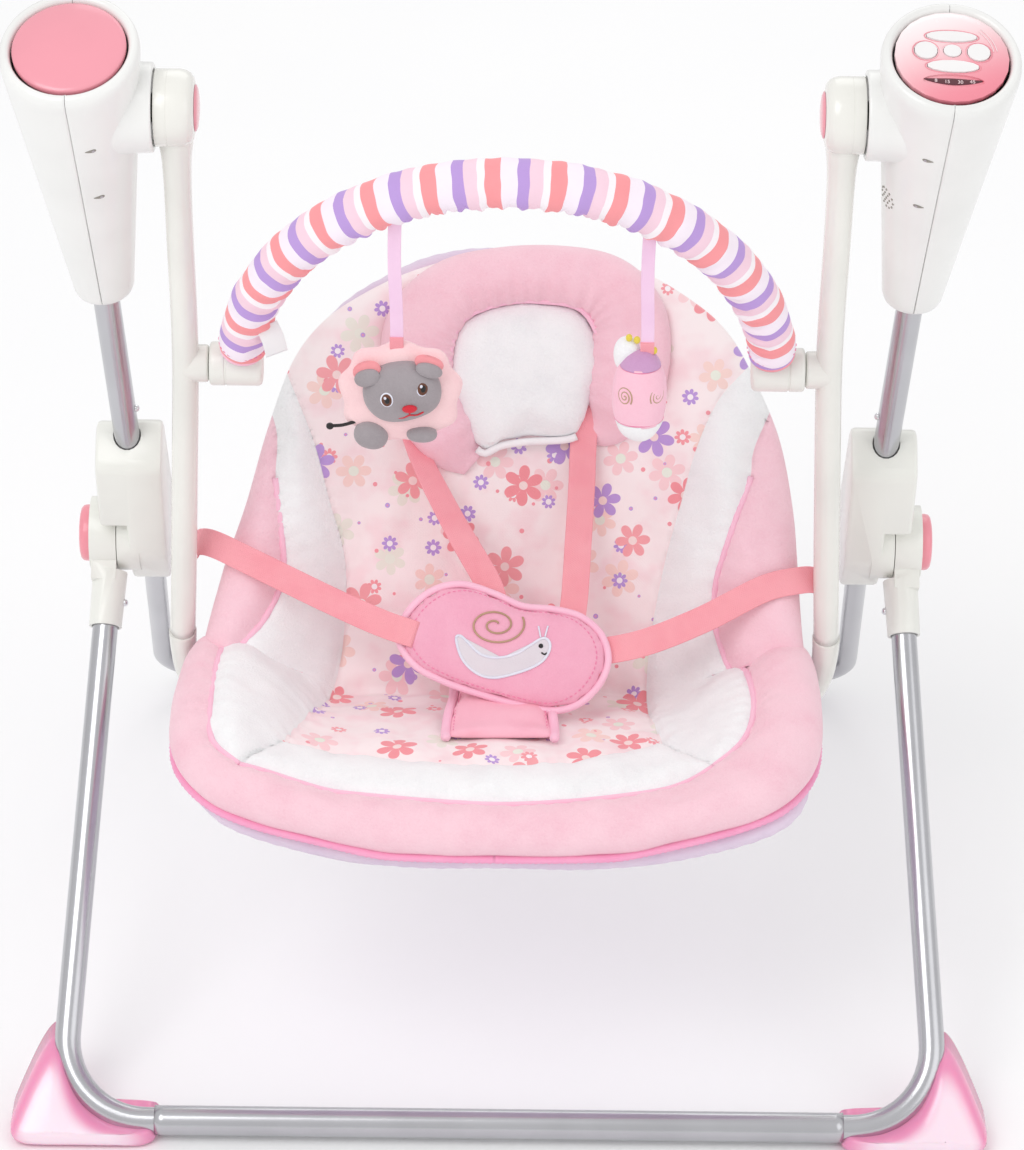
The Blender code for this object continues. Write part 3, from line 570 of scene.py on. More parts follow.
FINISHES: dict[Finish, object] = {
    Finish.HOUSING: Plastic(srgb(240, 240, 238), 0.3, 0.35),
    Finish.PEARL: Plastic(srgb(236, 235, 229), 0.26, 0.45),
    Finish.JOINT: Plastic(srgb(238, 238, 232), 0.34, 0.25),
    Finish.PINK_CAP: Plastic(srgb(240, 156, 170), 0.24, 0.5),
    Finish.BUTTON: Plastic(srgb(243, 150, 164), 0.3, 0.3),
    Finish.FOOT: FootPlastic(),
    Finish.PANEL: PanelPlastic(),
    Finish.KEY: Plastic(srgb(245, 243, 243), 0.3, 0.3),
    Finish.WINDOW: Plastic(srgb(88, 30, 44), 0.15, 0.6),
    Finish.NUMERAL: Plastic(srgb(250, 225, 228), 0.4, 0.1),
    Finish.TUBE: Metal(srgb(196, 196, 200), 0.24),
    Finish.STEEL: Metal(srgb(190, 190, 194), 0.28),
    Finish.BOARD: Plastic(srgb(30, 110, 60), 0.45, 0.2),
    Finish.BLACK: Plastic(srgb(36, 36, 38), 0.45, 0.1),
    Finish.COVER: SeatCover(),
    Finish.PLUSH: Pile(srgb(250, 206, 218), srgb(243, 184, 200)),
    Finish.VELOUR: Pile(srgb(248, 248, 249), srgb(232, 232, 235)),
    Finish.LILAC: Weave(srgb(232, 214, 232), srgb(220, 198, 224)),
    Finish.PIPING: Weave(srgb(252, 200, 220), srgb(247, 182, 208), (0.0008, 0.0008), 0.0001),
    Finish.WHITE_PIPING: Weave(srgb(250, 246, 248), srgb(236, 230, 234), (0.0008, 0.0008), 0.0001),
    Finish.BINDING: Weave(srgb(249, 172, 206), srgb(243, 150, 194), (0.0012, 0.0012), 0.0002),
    Finish.WEBBING: Weave(srgb(250, 168, 178), srgb(243, 142, 156), (0.0016, 0.0022), 0.0004, 0.1, 0.65),
    Finish.RIBBON: Weave(srgb(246, 210, 236), srgb(236, 192, 226), (0.0007, 0.0007), 0.0001, 0.2, 0.5),
    Finish.STRIPES: Stripes(),
    Finish.BELLY: Pile(srgb(244, 178, 200), srgb(236, 156, 184), 0.4, 0.0005, 900.0),
    Finish.CROTCH: Pile(srgb(250, 190, 206), srgb(244, 172, 192), 0.2, 0.0003, 1200.0),
    Finish.GREY_FUR: Pile(srgb(166, 158, 162), srgb(140, 132, 136), 0.3, 0.0005, 1100.0),
    Finish.MANE: Pile(srgb(252, 216, 218), srgb(247, 200, 206), 0.3, 0.0005, 900.0),
    Finish.BLUSH: Weave(srgb(246, 160, 165), srgb(236, 140, 150)),
    Finish.TAN_THREAD: thread(srgb(196, 160, 130), srgb(170, 134, 106)),
    Finish.WHITE_THREAD: thread(srgb(240, 240, 250), srgb(214, 218, 240)),
    Finish.PINK_THREAD: thread(srgb(240, 140, 178), srgb(226, 120, 160)),
    Finish.RED_THREAD: thread(srgb(214, 24, 48), srgb(186, 16, 40)),
    Finish.DARK_THREAD: thread(srgb(26, 22, 24), srgb(12, 10, 12)),
    Finish.BROWN_THREAD: thread(srgb(104, 58, 36), srgb(78, 40, 26)),
    Finish.YELLOW_THREAD: thread(srgb(238, 216, 80), srgb(222, 190, 50)),
    Finish.GREY_PATCH: Pile(srgb(226, 218, 224), srgb(214, 204, 212), 0.2, 0.0003, 1200.0),
    Finish.LABEL: Weave(srgb(245, 245, 246), srgb(235, 235, 238)),
    # Painted shade: this dark grey stands for the shade inside wells, holes and slots.
    Finish.SHADOW: Plastic(srgb(150, 146, 138), 0.5, 0.1),
    Finish.EGG_PINK: Pile(srgb(250, 200, 216), srgb(243, 178, 200), 0.3, 0.0004, 1000.0),
    Finish.CHROME: Metal(srgb(225, 225, 228), 0.12),
    Finish.MAUVE: Pile(srgb(206, 160, 200), srgb(190, 140, 186), 0.3, 0.0004, 1000.0),
}


class Wardrobe:
    """Makes each finish once, when it is first asked for."""

    def __init__(self) -> None:
        """Starts empty."""
        self.made: dict[Finish, bpy.types.Material] = {}

    def __getitem__(self, finish: Finish) -> bpy.types.Material:
        """The finish's material."""
        if finish not in self.made:
            self.made[finish] = FINISHES[finish].make(finish.value)
        return self.made[finish]


# ---------------------------------------------------------------- shape kit


def spline(rows: np.ndarray, steps: int) -> list[np.ndarray]:
    """The stretches of a smooth curve through the rows, each in steps, without the two end stretches."""
    part = np.linspace(0, 1, steps, endpoint=False)[:, None]
    curve = []
    for a, b, c, d in zip(rows, rows[1:], rows[2:], rows[3:]):
        square, cube = 2 * a - 5 * b + 4 * c - d, 3 * b - a - 3 * c + d
        curve.append(0.5 * (2 * b + (c - a) * part + square * part**2 + cube * part**3))
    return curve


def smooth_line(points: Sequence[Sequence[float]], count: int, closed: bool = False) -> np.ndarray:
    """Evenly spaced points on a smooth curve through the given ones.

    Args:
        points: the points, of two or three numbers each.
        count: how many points to return.
        closed: whether the curve returns to its start.

    Returns:
        The points as rows. A closed curve's last point isn't its first again.
    """
    given = np.array(points, float)
    ends = (given[-1:], given[:2]) if closed else (2 * given[:1] - given[1:2], 2 * given[-1:] - given[-2:-1])
    rows = np.concatenate([ends[0], given, ends[1]])
    line = np.concatenate([*spline(rows, 24), given[:1] if closed else given[-1:]])
    return evenly(line, count + 1)[:-1] if closed else evenly(line, count)


def evenly(line: np.ndarray, count: int) -> np.ndarray:
    """The line resampled to evenly spaced points."""
    run = run_of(line)
    wanted = np.linspace(0, run[-1], count)
    return np.stack([np.interp(wanted, run, line[:, axis]) for axis in range(line.shape[1])], 1)


def run_of(line: np.ndarray) -> np.ndarray:
    """How far along the line each of its points is."""
    return np.concatenate([[0], np.cumsum(np.linalg.norm(np.diff(line, axis=0), axis=1))])


def unit(rows: np.ndarray) -> np.ndarray:
    """Each row at length one."""
    return rows / np.maximum(np.linalg.norm(rows, axis=-1, keepdims=True), 1e-12)


def swell(share: np.ndarray) -> np.ndarray:
    """A quarter-round rise from 0 to 1, steep at first."""
    part = np.clip(share, 0, 1)
    return np.sqrt(np.maximum(0, 1 - (1 - part) ** 2))


def ease(share: np.ndarray) -> np.ndarray:
    """A smooth rise from 0 to 1."""
    part = np.clip(share, 0, 1)
    return part * part * (3 - 2 * part)


def ripple(where: np.ndarray, scale: float, seed: int) -> np.ndarray:
    """Smooth random waves from about -1 to 1 over points of two or three numbers.

    Args:
        where: the points, in metres.
        scale: the waves' length, in metres.
        seed: which waves.

    Returns:
        One number for each point.
    """
    draw = np.random.default_rng(seed)
    total = np.zeros(where.shape[:-1])
    for _ in range(9):
        turn = draw.normal(size=where.shape[-1])
        turn *= TAU / scale * draw.uniform(0.6, 1.5) / np.linalg.norm(turn)
        total += np.sin(where @ turn + draw.uniform(0, TAU))
    return total / 4.5


def beside(points: np.ndarray, line: np.ndarray) -> tuple[np.ndarray, np.ndarray]:
    """How near flat points are to a line, and how far along it.

    Args:
        points: flat points, in any arrangement.
        line: the line's points, as rows.

    Returns:
        Each point's distance, and the run of the line's nearest point.
    """
    flat = points.reshape(-1, 2)
    starts, steps = line[:-1], np.diff(line, axis=0)
    lengths = np.maximum((steps**2).sum(1), 1e-14)
    run = run_of(line)
    best, along = np.full(len(flat), 9.0), np.zeros(len(flat))
    for index in range(len(starts)):
        offset = flat - starts[index]
        share = np.clip(offset @ steps[index] / lengths[index], 0, 1)
        gap = np.linalg.norm(offset - share[:, None] * steps[index], axis=1)
        nearer = gap < best
        best[nearer] = gap[nearer]
        along[nearer] = run[index] + share[nearer] * math.sqrt(lengths[index])
    return best.reshape(points.shape[:-1]), along.reshape(points.shape[:-1])


def inside(points: np.ndarray, loop: np.ndarray) -> np.ndarray:
    """Whether each flat point is inside the loop."""
    x, y = points[..., 0], points[..., 1]
    crossed = np.zeros(x.shape, bool)
    for (ax, ay), (bx, by) in zip(loop, np.roll(loop, -1, axis=0)):
        if ay == by:
            continue
        crossed ^= ((ay > y) != (by > y)) & (x < (bx - ax) * (y - ay) / (by - ay) + ax)
    return crossed


class Skin:
    """Makes a mesh object from a grid of points."""

    def __init__(self, finishes: Wardrobe) -> None:
        """Args:
        finishes: where the materials come from.
        """
        self.finishes = finishes

    def grid(
        self,
        name: str,
        points: np.ndarray,
        finish: Finish,
        wrap: tuple[bool, bool] = (False, False),
        plan: np.ndarray | None = None,
        caps: bool = False,
        sharp: float | None = None,
        closed: bool = False,
    ) -> bpy.types.Object:
        """A skin over rows and columns of points.

        Args:
            name: the piece's name.
            points: rows by columns by three.
            finish: its material.
            wrap: whether the last row, and the last column, joins the first.
            plan: the flat cloth plan, rows by columns by two, with one more column where columns wrap.
            caps: whether the first and last rows are closed with a face.
            sharp: the angle in degrees over which an edge stays sharp.
            closed: whether the rows' own ends meet, so that their doubles are merged.

        Returns:
            The new object, with its faces pointing outwards where it is closed.
        """
        rows, columns = points.shape[:2]
        mesh = bpy.data.meshes.new(name)
        index = np.arange(rows * columns).reshape(rows, columns)
        r = np.arange(rows if wrap[0] else rows - 1)
        c = np.arange(columns if wrap[1] else columns - 1)
        low, high = index[r][:, c], index[(r + 1) % rows][:, c]
        low_next, high_next = index[r][:, (c + 1) % columns], index[(r + 1) % rows][:, (c + 1) % columns]
        quads = np.stack([low, low_next, high_next, high], -1).reshape(-1, 4)
        faces = [tuple(quad) for quad in quads.tolist()]
        if caps:
            faces += [tuple(index[0][::-1].tolist()), tuple(index[-1].tolist())]
        mesh.from_pydata(points.reshape(-1, 3).tolist(), [], faces)
        if plan is None:
            run = run_of(points.mean(1))
            ring = np.concatenate([points[rows // 2], points[rows // 2][:1]])
            around = run_of(ring)
            plan = np.stack(np.meshgrid(run, around, indexing="ij"), -1)
        wide = plan if plan.shape[1] > columns else np.concatenate([plan, plan[:, :1]], 1)
        next_row = (r + 1) % plan.shape[0]
        corners = np.stack(
            [wide[r][:, c], wide[r][:, c + 1], wide[next_row][:, c + 1], wide[next_row][:, c]], 2
        )
        coordinates = corners.reshape(-1, 2)
        extra = sum(len(face) for face in faces[len(quads) :])
        coordinates = np.concatenate([coordinates, np.zeros((extra, 2))])
        layer = mesh.uv_layers.new(name="cloth")
        layer.data.foreach_set("uv", coordinates.astype(np.float32).ravel())
        return self.finished(name, mesh, finish, sharp, closed or (wrap[1] and (caps or wrap[0])))

    def finished(
        self, name: str, mesh: bpy.types.Mesh, finish: Finish, sharp: float | None = None,
        closed: bool = True
    ) -> bpy.types.Object:
        """The mesh as a dressed object in the scene."""
        if closed:
            work = bmesh.new()
            work.from_mesh(mesh)
            bmesh.ops.remove_doubles(work, verts=work.verts, dist=1e-6)
            bmesh.ops.recalc_face_normals(work, faces=work.faces)
            work.to_mesh(mesh)
            work.free()
        mesh.materials.append(self.finishes[finish])
        mesh.shade_smooth()
        if sharp is not None:
            mesh.set_sharp_from_angle(angle=math.radians(sharp))
        return linked(name, mesh)

    def sweep(
        self,
        name: str,
        path: np.ndarray,
        section: np.ndarray,
        finish: Finish,
        up: Sequence[float] | np.ndarray = (0, 0, 1),
        closed: bool = False,
        scale: np.ndarray | None = None,
    ) -> bpy.types.Object:
        """A section of (aside, up) points carried along a path.

        Args:
            name: the piece's name.
            path: the path's points, as rows.
            section: the section's points, as rows.
            finish: its material.
            up: the way the section's second axis faces, once or for each point.
            closed: whether the path returns to its start.
            scale: the section's size at each point, once or as (aside, up).

        Returns:
            The swept object.
        """
        return self.grid(
            name, self.carried(path, section, up, closed, scale), finish, (closed, True), caps=not closed
        )

    def carried(
        self,
        path: np.ndarray,
        section: np.ndarray,
        up: Sequence[float] | np.ndarray = (0, 0, 1),
        closed: bool = False,
        scale: np.ndarray | None = None,
    ) -> np.ndarray:
        """The grid of points of a swept section."""
        if closed:
            ahead = np.roll(path, -1, 0) - np.roll(path, 1, 0)
        else:
            ahead = np.gradient(path, axis=0)
        ahead = unit(ahead)
        facing = np.broadcast_to(np.array(up, float), path.shape)
        aside = unit(np.cross(ahead, facing))
        above = np.cross(aside, ahead)
        size = np.ones(
            (len(path), 1, 2)
        ) if scale is None else np.array(scale, float).reshape(len(path), 1, -1)
        spread = section[None] * size
        return path[:, None] + spread[..., :1] * aside[:, None] + spread[..., 1:] * above[:, None]

    def lathe(
        self,
        name: str,
        profile: Sequence[tuple[float, float]],
        matrix: Matrix,
        finish: Finish,
        steps: int = 64,
        sharp: float = 40.0,
    ) -> bpy.types.Object:
        """A (radius, height) profile turned about local Z, from one end on the axis to the other."""
        return self.grid(
            name, moved(turned(profile, steps), matrix), finish, (False, True), sharp=sharp, closed=True
        )


def linked(name: str, data: bpy.types.ID) -> bpy.types.Object:
    """A new object in the scene."""
    made = bpy.data.objects.new(name, data)
    bpy.context.scene.collection.objects.link(made)
    return made


def evaluated(piece: bpy.types.Object) -> bpy.types.Object:
    """The piece as its modifiers leave it."""
    bpy.context.view_layer.update()
    return piece.evaluated_get(bpy.context.evaluated_depsgraph_get())


def turned(profile: Sequence[tuple[float, float]], steps: int) -> np.ndarray:
    """A (radius, height) profile at evenly spaced angles about local Z."""
    angles, shape = np.linspace(0, TAU, steps, endpoint=False), np.array(profile, float)
    flat = [shape[:, :1] * np.cos(angles), shape[:, :1] * np.sin(angles), np.repeat(shape[:, 1:], steps, 1)]
    return np.stack(flat, -1)


def moved(points: np.ndarray, matrix: Matrix) -> np.ndarray:
    """The points taken from a local frame to the swing's frame."""
    full = np.array(matrix.to_4x4(), float)
    return points @ full[:3, :3].T + full[:3, 3]


def oval(half_width: float, half_height: float, count: int, power: float = 2.0) -> np.ndarray:
    """The points of an oval, squarer with a higher power."""
    angle = np.linspace(0, TAU, count, endpoint=False)
    cosine, sine = np.cos(angle), np.sin(angle)
    return np.stack(
        [
            half_width * np.sign(cosine) * np.abs(cosine) ** (2 / power),
            half_height * np.sign(sine) * np.abs(sine) ** (2 / power),
        ],
        1,
    )


def store(piece: bpy.types.Object, name: str, values: np.ndarray) -> None:
    """Keep one number for each vertex on the piece."""
    attribute = piece.data.attributes.new(name, "FLOAT", "POINT")
    attribute.data.foreach_set("value", values.astype(np.float32).ravel())


def settle(piece: bpy.types.Object, body: Body, replaced: Sequence[str] = ()) -> bpy.types.Object:
    """Ride the piece on its body and what it stands for, and report it."""
    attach(piece, body.value)
    if replaced:
        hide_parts(*replaced)
    LOG.info("%s: %d faces on %s", piece.name, len(piece.data.polygons), body.value)
    return piece


@dataclass
class Assembly:
    """A sub-assembly, with where its materials and its meshes come from."""

    finishes: Wardrobe
    skin: Skin

    def dress(self, finish: Finish, *nodes: str) -> None:
        """Give the frame's nodes a finish."""
        for node in nodes:
            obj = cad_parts[node]
            obj.data.materials.clear()
            obj.data.materials.append(self.finishes[finish])


# ---------------------------------------------------------------- seat surface


# How finely the seat's middle line is worked out between two stations, and the run where seat and back meet.
STATION_STEPS = 20
BIGHT = 0.2125


@dataclass(frozen=True)
class SeatSurface:
    """The seat's supporting surface, addressed by the run from its front edge and the distance aside."""

    stations: Rows4 = (
        (-0.256, 0.250, 0.130, 0.006), (-0.225, 0.252, 0.198, 0.016), (-0.170, 0.243, 0.212, 0.030),
        (-0.105, 0.227, 0.211, 0.042), (-0.049, 0.217, 0.208, 0.046), (0.000, 0.284, 0.191, 0.042),
        (0.045, 0.359, 0.168, 0.034), (0.085, 0.429, 0.134, 0.022), (0.113, 0.476, 0.070, 0.008)
    )
    table: dict[str, np.ndarray] = field(default_factory=dict)

    def __post_init__(self) -> None:
        """Works out the middle line once."""
        rows = np.array(self.stations)
        held = np.concatenate([rows[:1], rows, rows[-1:]])
        line = np.concatenate([*spline(held, STATION_STEPS), rows[-1:]])
        run = run_of(line[:, :2])
        along = unit(np.gradient(line[:, :2], axis=0))
        self.table.update(run=run, line=line, along=along)

    def at(self, run: np.ndarray, aside: np.ndarray, height: np.ndarray | float = 0.0) -> np.ndarray:
        """Points over the surface.

        Args:
            run: distance from the front edge along the middle line. It may lie a little beyond either end.
            aside: distance to the right of the middle line.
            height: height over the surface.

        Returns:
            The points.
        """
        table = self.table
        held = np.clip(run, 0, table["run"][-1])
        y, z, half, rise = (np.interp(held, table["run"], table["line"][:, i]) for i in range(4))
        ahead_y, ahead_z = (np.interp(held, table["run"], table["along"][:, i]) for i in range(2))
        beyond = run - held
        part = np.clip((np.abs(aside) / np.maximum(half, 0.1) - 0.52) / 0.4, 0, 1)
        lift = rise * part * part * (3 - 2 * part) + height
        return np.stack(
            [
                np.asarray(aside, float) + 0 * y,
                y + ahead_y * beyond - ahead_z * lift,
                z + ahead_z * beyond + ahead_y * lift,
            ],
            -1,
        )

    def normal(self, run: np.ndarray) -> np.ndarray:
        """The way the surface faces at a run, leaving out its sides' rise."""
        held = np.clip(run, 0, self.table["run"][-1])
        ahead = [np.interp(held, self.table["run"], self.table["along"][:, i]) for i in range(2)]
        return np.stack([0 * ahead[0], -ahead[1], ahead[0]], -1)


# ---------------------------------------------------------------- seat


@dataclass
class Seat(Assembly):
    """The padded cover, its piping and binding, the head cushion and the hammock under it."""

    surface: SeatSurface = field(default_factory=SeatSurface)
    roll_width: float = 0.019
    roll_height: float = 0.017
    roll_middle: float = -0.009
    # The outline's half: run from the front edge, then how far it reaches to the left and to the right.
    outline: Rows3 = (
        (-0.006, -0.07, 0.06), (0.001, -0.125, 0.115), (0.013, -0.168, 0.158), (0.030, -0.197, 0.188),
        (0.060, -0.217, 0.207), (0.100, -0.222, 0.213), (0.160, -0.219, 0.213), (0.2125, -0.212, 0.209),
        (0.260, -0.203, 0.204), (0.300, -0.192, 0.201), (0.344, -0.178, 0.197), (0.392, -0.165, 0.187),
        (0.438, -0.149, 0.167), (0.465, -0.130, 0.150), (0.484, -0.105, 0.128), (0.503, -0.068, 0.096),
        (0.514, -0.030, 0.062)
    )
    # The piping's loop and the printed panel's loop, each as (run, aside). Both leave the seat at its top.
    piping: Rows2 = (
        (0.420, -0.170), (0.392, -0.158), (0.358, -0.158), (0.322, -0.154), (0.290, -0.153), (0.262, -0.165),
        (0.233, -0.183), (0.165, -0.193), (0.103, -0.195), (0.060, -0.191), (0.040, -0.172)
    )
    front_piping: Rows2 = (
        (0.040, -0.172), (0.038, -0.132), (0.031, -0.092), (0.025, -0.048), (0.022, 0.000), (0.027, 0.050),
        (0.038, 0.095), (0.050, 0.120), (0.063, 0.139)
    )
    right_piping: Rows2 = (
        (0.063, 0.139), (0.082, 0.160), (0.117, 0.168), (0.165, 0.166), (0.216, 0.157), (0.262, 0.145),
        (0.287, 0.145), (0.305, 0.149), (0.336, 0.158), (0.362, 0.167), (0.384, 0.170), (0.420, 0.186)
    )
    left_seam: Rows2 = (
        (0.446, -0.158), (0.392, -0.135), (0.344, -0.122), (0.300, -0.111), (0.246, -0.112), (0.201, -0.120),
        (0.140, -0.134), (0.100, -0.143), (0.084, -0.147)
    )
    front_seam: Rows2 = (
        (0.084, -0.147), (0.090, -0.110), (0.077, -0.056), (0.073, -0.004), (0.080, 0.045), (0.098, 0.082),
        (0.116, 0.108)
    )
    right_seam: Rows2 = (
        (0.116, 0.108), (0.150, 0.103), (0.204, 0.099), (0.246, 0.101), (0.300, 0.110), (0.349, 0.122),
        (0.384, 0.131), (0.418, 0.146), (0.446, 0.172)
    )
    # The head cushion's roll, as (run, aside, half width), and its white middle's outline.
    cushion: Rows3 = (
        (0.371, -0.022, 0.011), (0.384, -0.037, 0.020), (0.405, -0.053, 0.025), (0.436, -0.062, 0.026),
        (0.466, -0.058, 0.026), (0.489, -0.038, 0.023), (0.499, -0.006, 0.021), (0.501, 0.030, 0.021),
        (0.494, 0.064, 0.023), (0.474, 0.082, 0.026), (0.446, 0.084, 0.028), (0.418, 0.079, 0.026),
        (0.400, 0.068, 0.018), (0.394, 0.055, 0.009)
    )
    middle: Rows2 = (
        (0.378, -0.017), (0.394, -0.030), (0.420, -0.039), (0.446, -0.040), (0.469, -0.032), (0.481, -0.006),
        (0.483, 0.022), (0.477, 0.051), (0.450, 0.065), (0.424, 0.061), (0.402, 0.055), (0.389, 0.046),
        (0.386, 0.014), (0.383, -0.004)
    )

    # Hoop routes: station, share of the half width and drop below the pad.
    front_hoop: Rows3 = (
        (3.2, 0.958, 0.0115), (2.8, 0.95, 0.009), (1.9, 0.94, 0.0085), (1.1, 0.9, 0.0085),
        (0.62, 0.72, 0.009), (0.42, 0.4, 0.0095), (0.38, 0.0, 0.0095)
    )
    back_hoop: Rows3 = (
        (4.8, 0.957, 0.0140), (5.2, 0.95, 0.0095), (6.1, 0.94, 0.0085), (7.0, 0.9, 0.0085),
        (7.55, 0.75, 0.009), (7.8, 0.45, 0.0095), (7.86, 0.0, 0.0095)
    )

    def loops(self) -> None:
        """Works out the smooth panel lines."""
        self.lines = {
            name: smooth_line(getattr(self, name), 90)
            for name in ("piping", "front_piping", "right_piping", "left_seam", "front_seam", "right_seam")
        }
        above = np.array([[0.60, 0.20], [0.60, -0.20]])
        self.inner_loop = np.concatenate(
            [self.lines["piping"], self.lines["front_piping"], self.lines["right_piping"], above]
        )
        self.print_loop = np.concatenate(
            [self.lines["left_seam"], self.lines["front_seam"], self.lines["right_seam"], above]
        )

    def rim(self, count: int) -> np.ndarray:
        """The pad's outline as (run, aside), evenly spaced."""
        right = [(run, right) for run, _, right in self.outline]
        left = [(run, left) for run, left, _ in reversed(self.outline)]
        return smooth_line([(-0.008, -0.004), *right, (0.519, 0.016), *left], count, closed=True)

    def spine(self, rim: np.ndarray) -> np.ndarray:
        """The point of the pad's middle that each rim point looks to."""
        run = np.clip(rim[:, 0], 0.125, 0.395)
        other = np.roll(run[::-1], 1)
        paired = (run + other) / 2
        return np.stack([paired, 0.012 * ease((paired - 0.2) / 0.2)], 1)

    def height(self, flat: np.ndarray) -> tuple[np.ndarray, np.ndarray, np.ndarray]:
        """The cover's height over the surface.

        Args:
            flat: (run, aside) points.

        Returns:
            The heights, and the signed distances inside the piping and inside the printed panel.
        """
        piping, along_piping = beside(flat, self.inner_loop)
        seam, along_seam = beside(flat, self.print_loop)
        is_inner, is_print = inside(flat, self.inner_loop), inside(flat, self.print_loop)
        inner, printed = np.where(is_inner, piping, -piping), np.where(is_print, seam, -seam)
        gathers = 0.0009 * np.sin(along_piping * TAU / 0.0135 + 2.2 * ripple(flat, 0.05, 3))
        gathers *= np.exp(-piping / 0.011) * ease(piping / 0.005)
        puckers = 0.0007 * np.sin(
            along_seam * TAU / 0.016 + 2.5 * ripple(flat, 0.06, 4)
        ) * np.exp(-seam / 0.012)
        plush = 0.009 * swell(piping / 0.02) - 0.001 + gathers
        corner_left, _ = beside(flat, np.array([self.lines["left_seam"][-1], self.lines["piping"][-1]]))
        corner_right, _ = beside(
            flat, np.array([self.lines["right_seam"][0], self.lines["front_piping"][-1]])
        )
        nearest = np.minimum(np.minimum(piping, seam), np.minimum(corner_left, corner_right))
        white = 0.011 * swell(nearest / 0.024) - 0.001 + gathers + puckers
        cotton = 0.005 * swell(seam / 0.03) - 0.001 + puckers
        bight = np.exp(-(((flat[..., 0] - BIGHT) / 0.006) ** 2))
        cotton -= 0.008 * bight * ease(seam / 0.02)
        waves = 0.0011 * ripple(flat * np.array([1.0, 1.6]), 0.07, 5) + 0.0006 * ripple(flat, 0.028, 6)
        top = np.where(is_print, cotton, np.where(is_inner, white, plush))
        return top + waves * ease(np.minimum(piping, seam) / 0.015), inner, printed

    def pad(self) -> bpy.types.Object:
        """The padded cover: a soft roll round a stuffed seat, closed underneath."""
        rim = self.rim(560)
        middle = self.spine(rim)
        heading = unit(middle - rim)
        reach = np.linalg.norm(middle - rim, axis=1)
        quarter = np.linspace(0, math.pi / 2, 9)[1:]
        rows: list[np.ndarray] = []
        heights: list[np.ndarray] = []
        for share in np.linspace(1, 0, 62):
            inward = self.roll_width + share**0.9 * (reach - self.roll_width)
            flat = rim + heading * inward[:, None]
            rows.append(flat)
            heights.append(self.height(flat)[0])
        for angle in quarter:
            flat = rim + heading * self.roll_width * (1 - math.sin(angle))
            top = self.height(flat)[0]
            rows.append(flat)
            heights.append(self.roll_middle + (top - self.roll_middle) * math.cos(angle))
        for angle in quarter:
            flat = rim + heading * self.roll_width * (1 - math.cos(angle))
            rows.append(flat)
            heights.append(np.full(len(rim), self.roll_middle - self.roll_height * math.sin(angle)))
        for share in np.linspace(0, 1, 14)[1:]:
            inward = self.roll_width + share * (reach - self.roll_width)
            rows.append(rim + heading * inward[:, None])
            heights.append(np.full(len(rim), self.roll_middle - self.roll_height))
        flat, lift = np.stack(rows), np.stack(heights)
        lift = lift + 0.0008 * ripple(flat, 0.045, 8) * (lift < 0.02)
        plan = np.concatenate([flat, flat[:, :1]], 1)[..., ::-1]
        points = self.surface.at(flat[..., 0], flat[..., 1], lift)
        piece = self.skin.grid("seat_cover", points, Finish.COVER, (False, True), plan, closed=True)
        self.mark(piece)
        return piece

    def mark(self, piece: bpy.types.Object) -> None:
        """Stores how far each point is inside the panels, from its place on the cloth plan."""
        mesh = piece.data
        corner = np.zeros(len(mesh.loops) * 2, np.float32)
        mesh.uv_layers["cloth"].data.foreach_get("uv", corner)
        vertex = np.zeros(len(mesh.loops), np.int32)
        mesh.loops.foreach_get("vertex_index", vertex)
        flat = np.zeros((len(mesh.vertices), 2))
        flat[vertex] = corner.reshape(-1, 2)[:, ::-1]
        normals = np.zeros(len(mesh.vertices) * 3, np.float32)
        mesh.vertices.foreach_get("normal", normals)
        facing = (normals.reshape(-1, 3) * self.surface.normal(flat[:, 0])).sum(1)
        _, inner, printed = self.height(flat)
        below = facing < -0.3
        store(piece, "inner", np.where(below, -1.0, inner))
        store(piece, "print", np.where(below, -1.0, printed))

    def cord_along(
        self, name: str, line: np.ndarray, radius: float, lift: float, finish: Finish
    ) -> bpy.types.Object:
        """Piping along a line of the cover, lifted off its cloth."""
        flat = evenly(line, max(12, int(run_of(line)[-1] / 0.003)))
        top = self.height(flat)[0]
        path = self.surface.at(flat[:, 0], flat[:, 1], top + lift)
        return self.skin.sweep(name, path, oval(radius, radius, 10), finish, self.surface.normal(flat[:, 0]))

    def round_rim(
        self, name: str, angle: float, section: np.ndarray, finish: Finish, ribs: float = 0.0
    ) -> bpy.types.Object:
        """A band that runs round the roll at an angle from its top."""
        rim = self.rim(900 if ribs else 420)
        heading = unit(self.spine(rim) - rim)
        flat = rim + heading * self.roll_width * (1 - math.sin(angle) * 1.03)
        height = self.roll_middle + self.roll_height * 1.03 * math.cos(angle)
        path = self.surface.at(flat[:, 0], flat[:, 1], height)
        size = None
        if ribs:
            run = run_of(path)
            size = 1 + 0.07 * np.sin(run * TAU / ribs)[:, None]
        out = unit(path - self.surface.at(*(self.spine(rim).T)))
        return self.skin.sweep(name, path, section, finish, out, closed=True, scale=size)

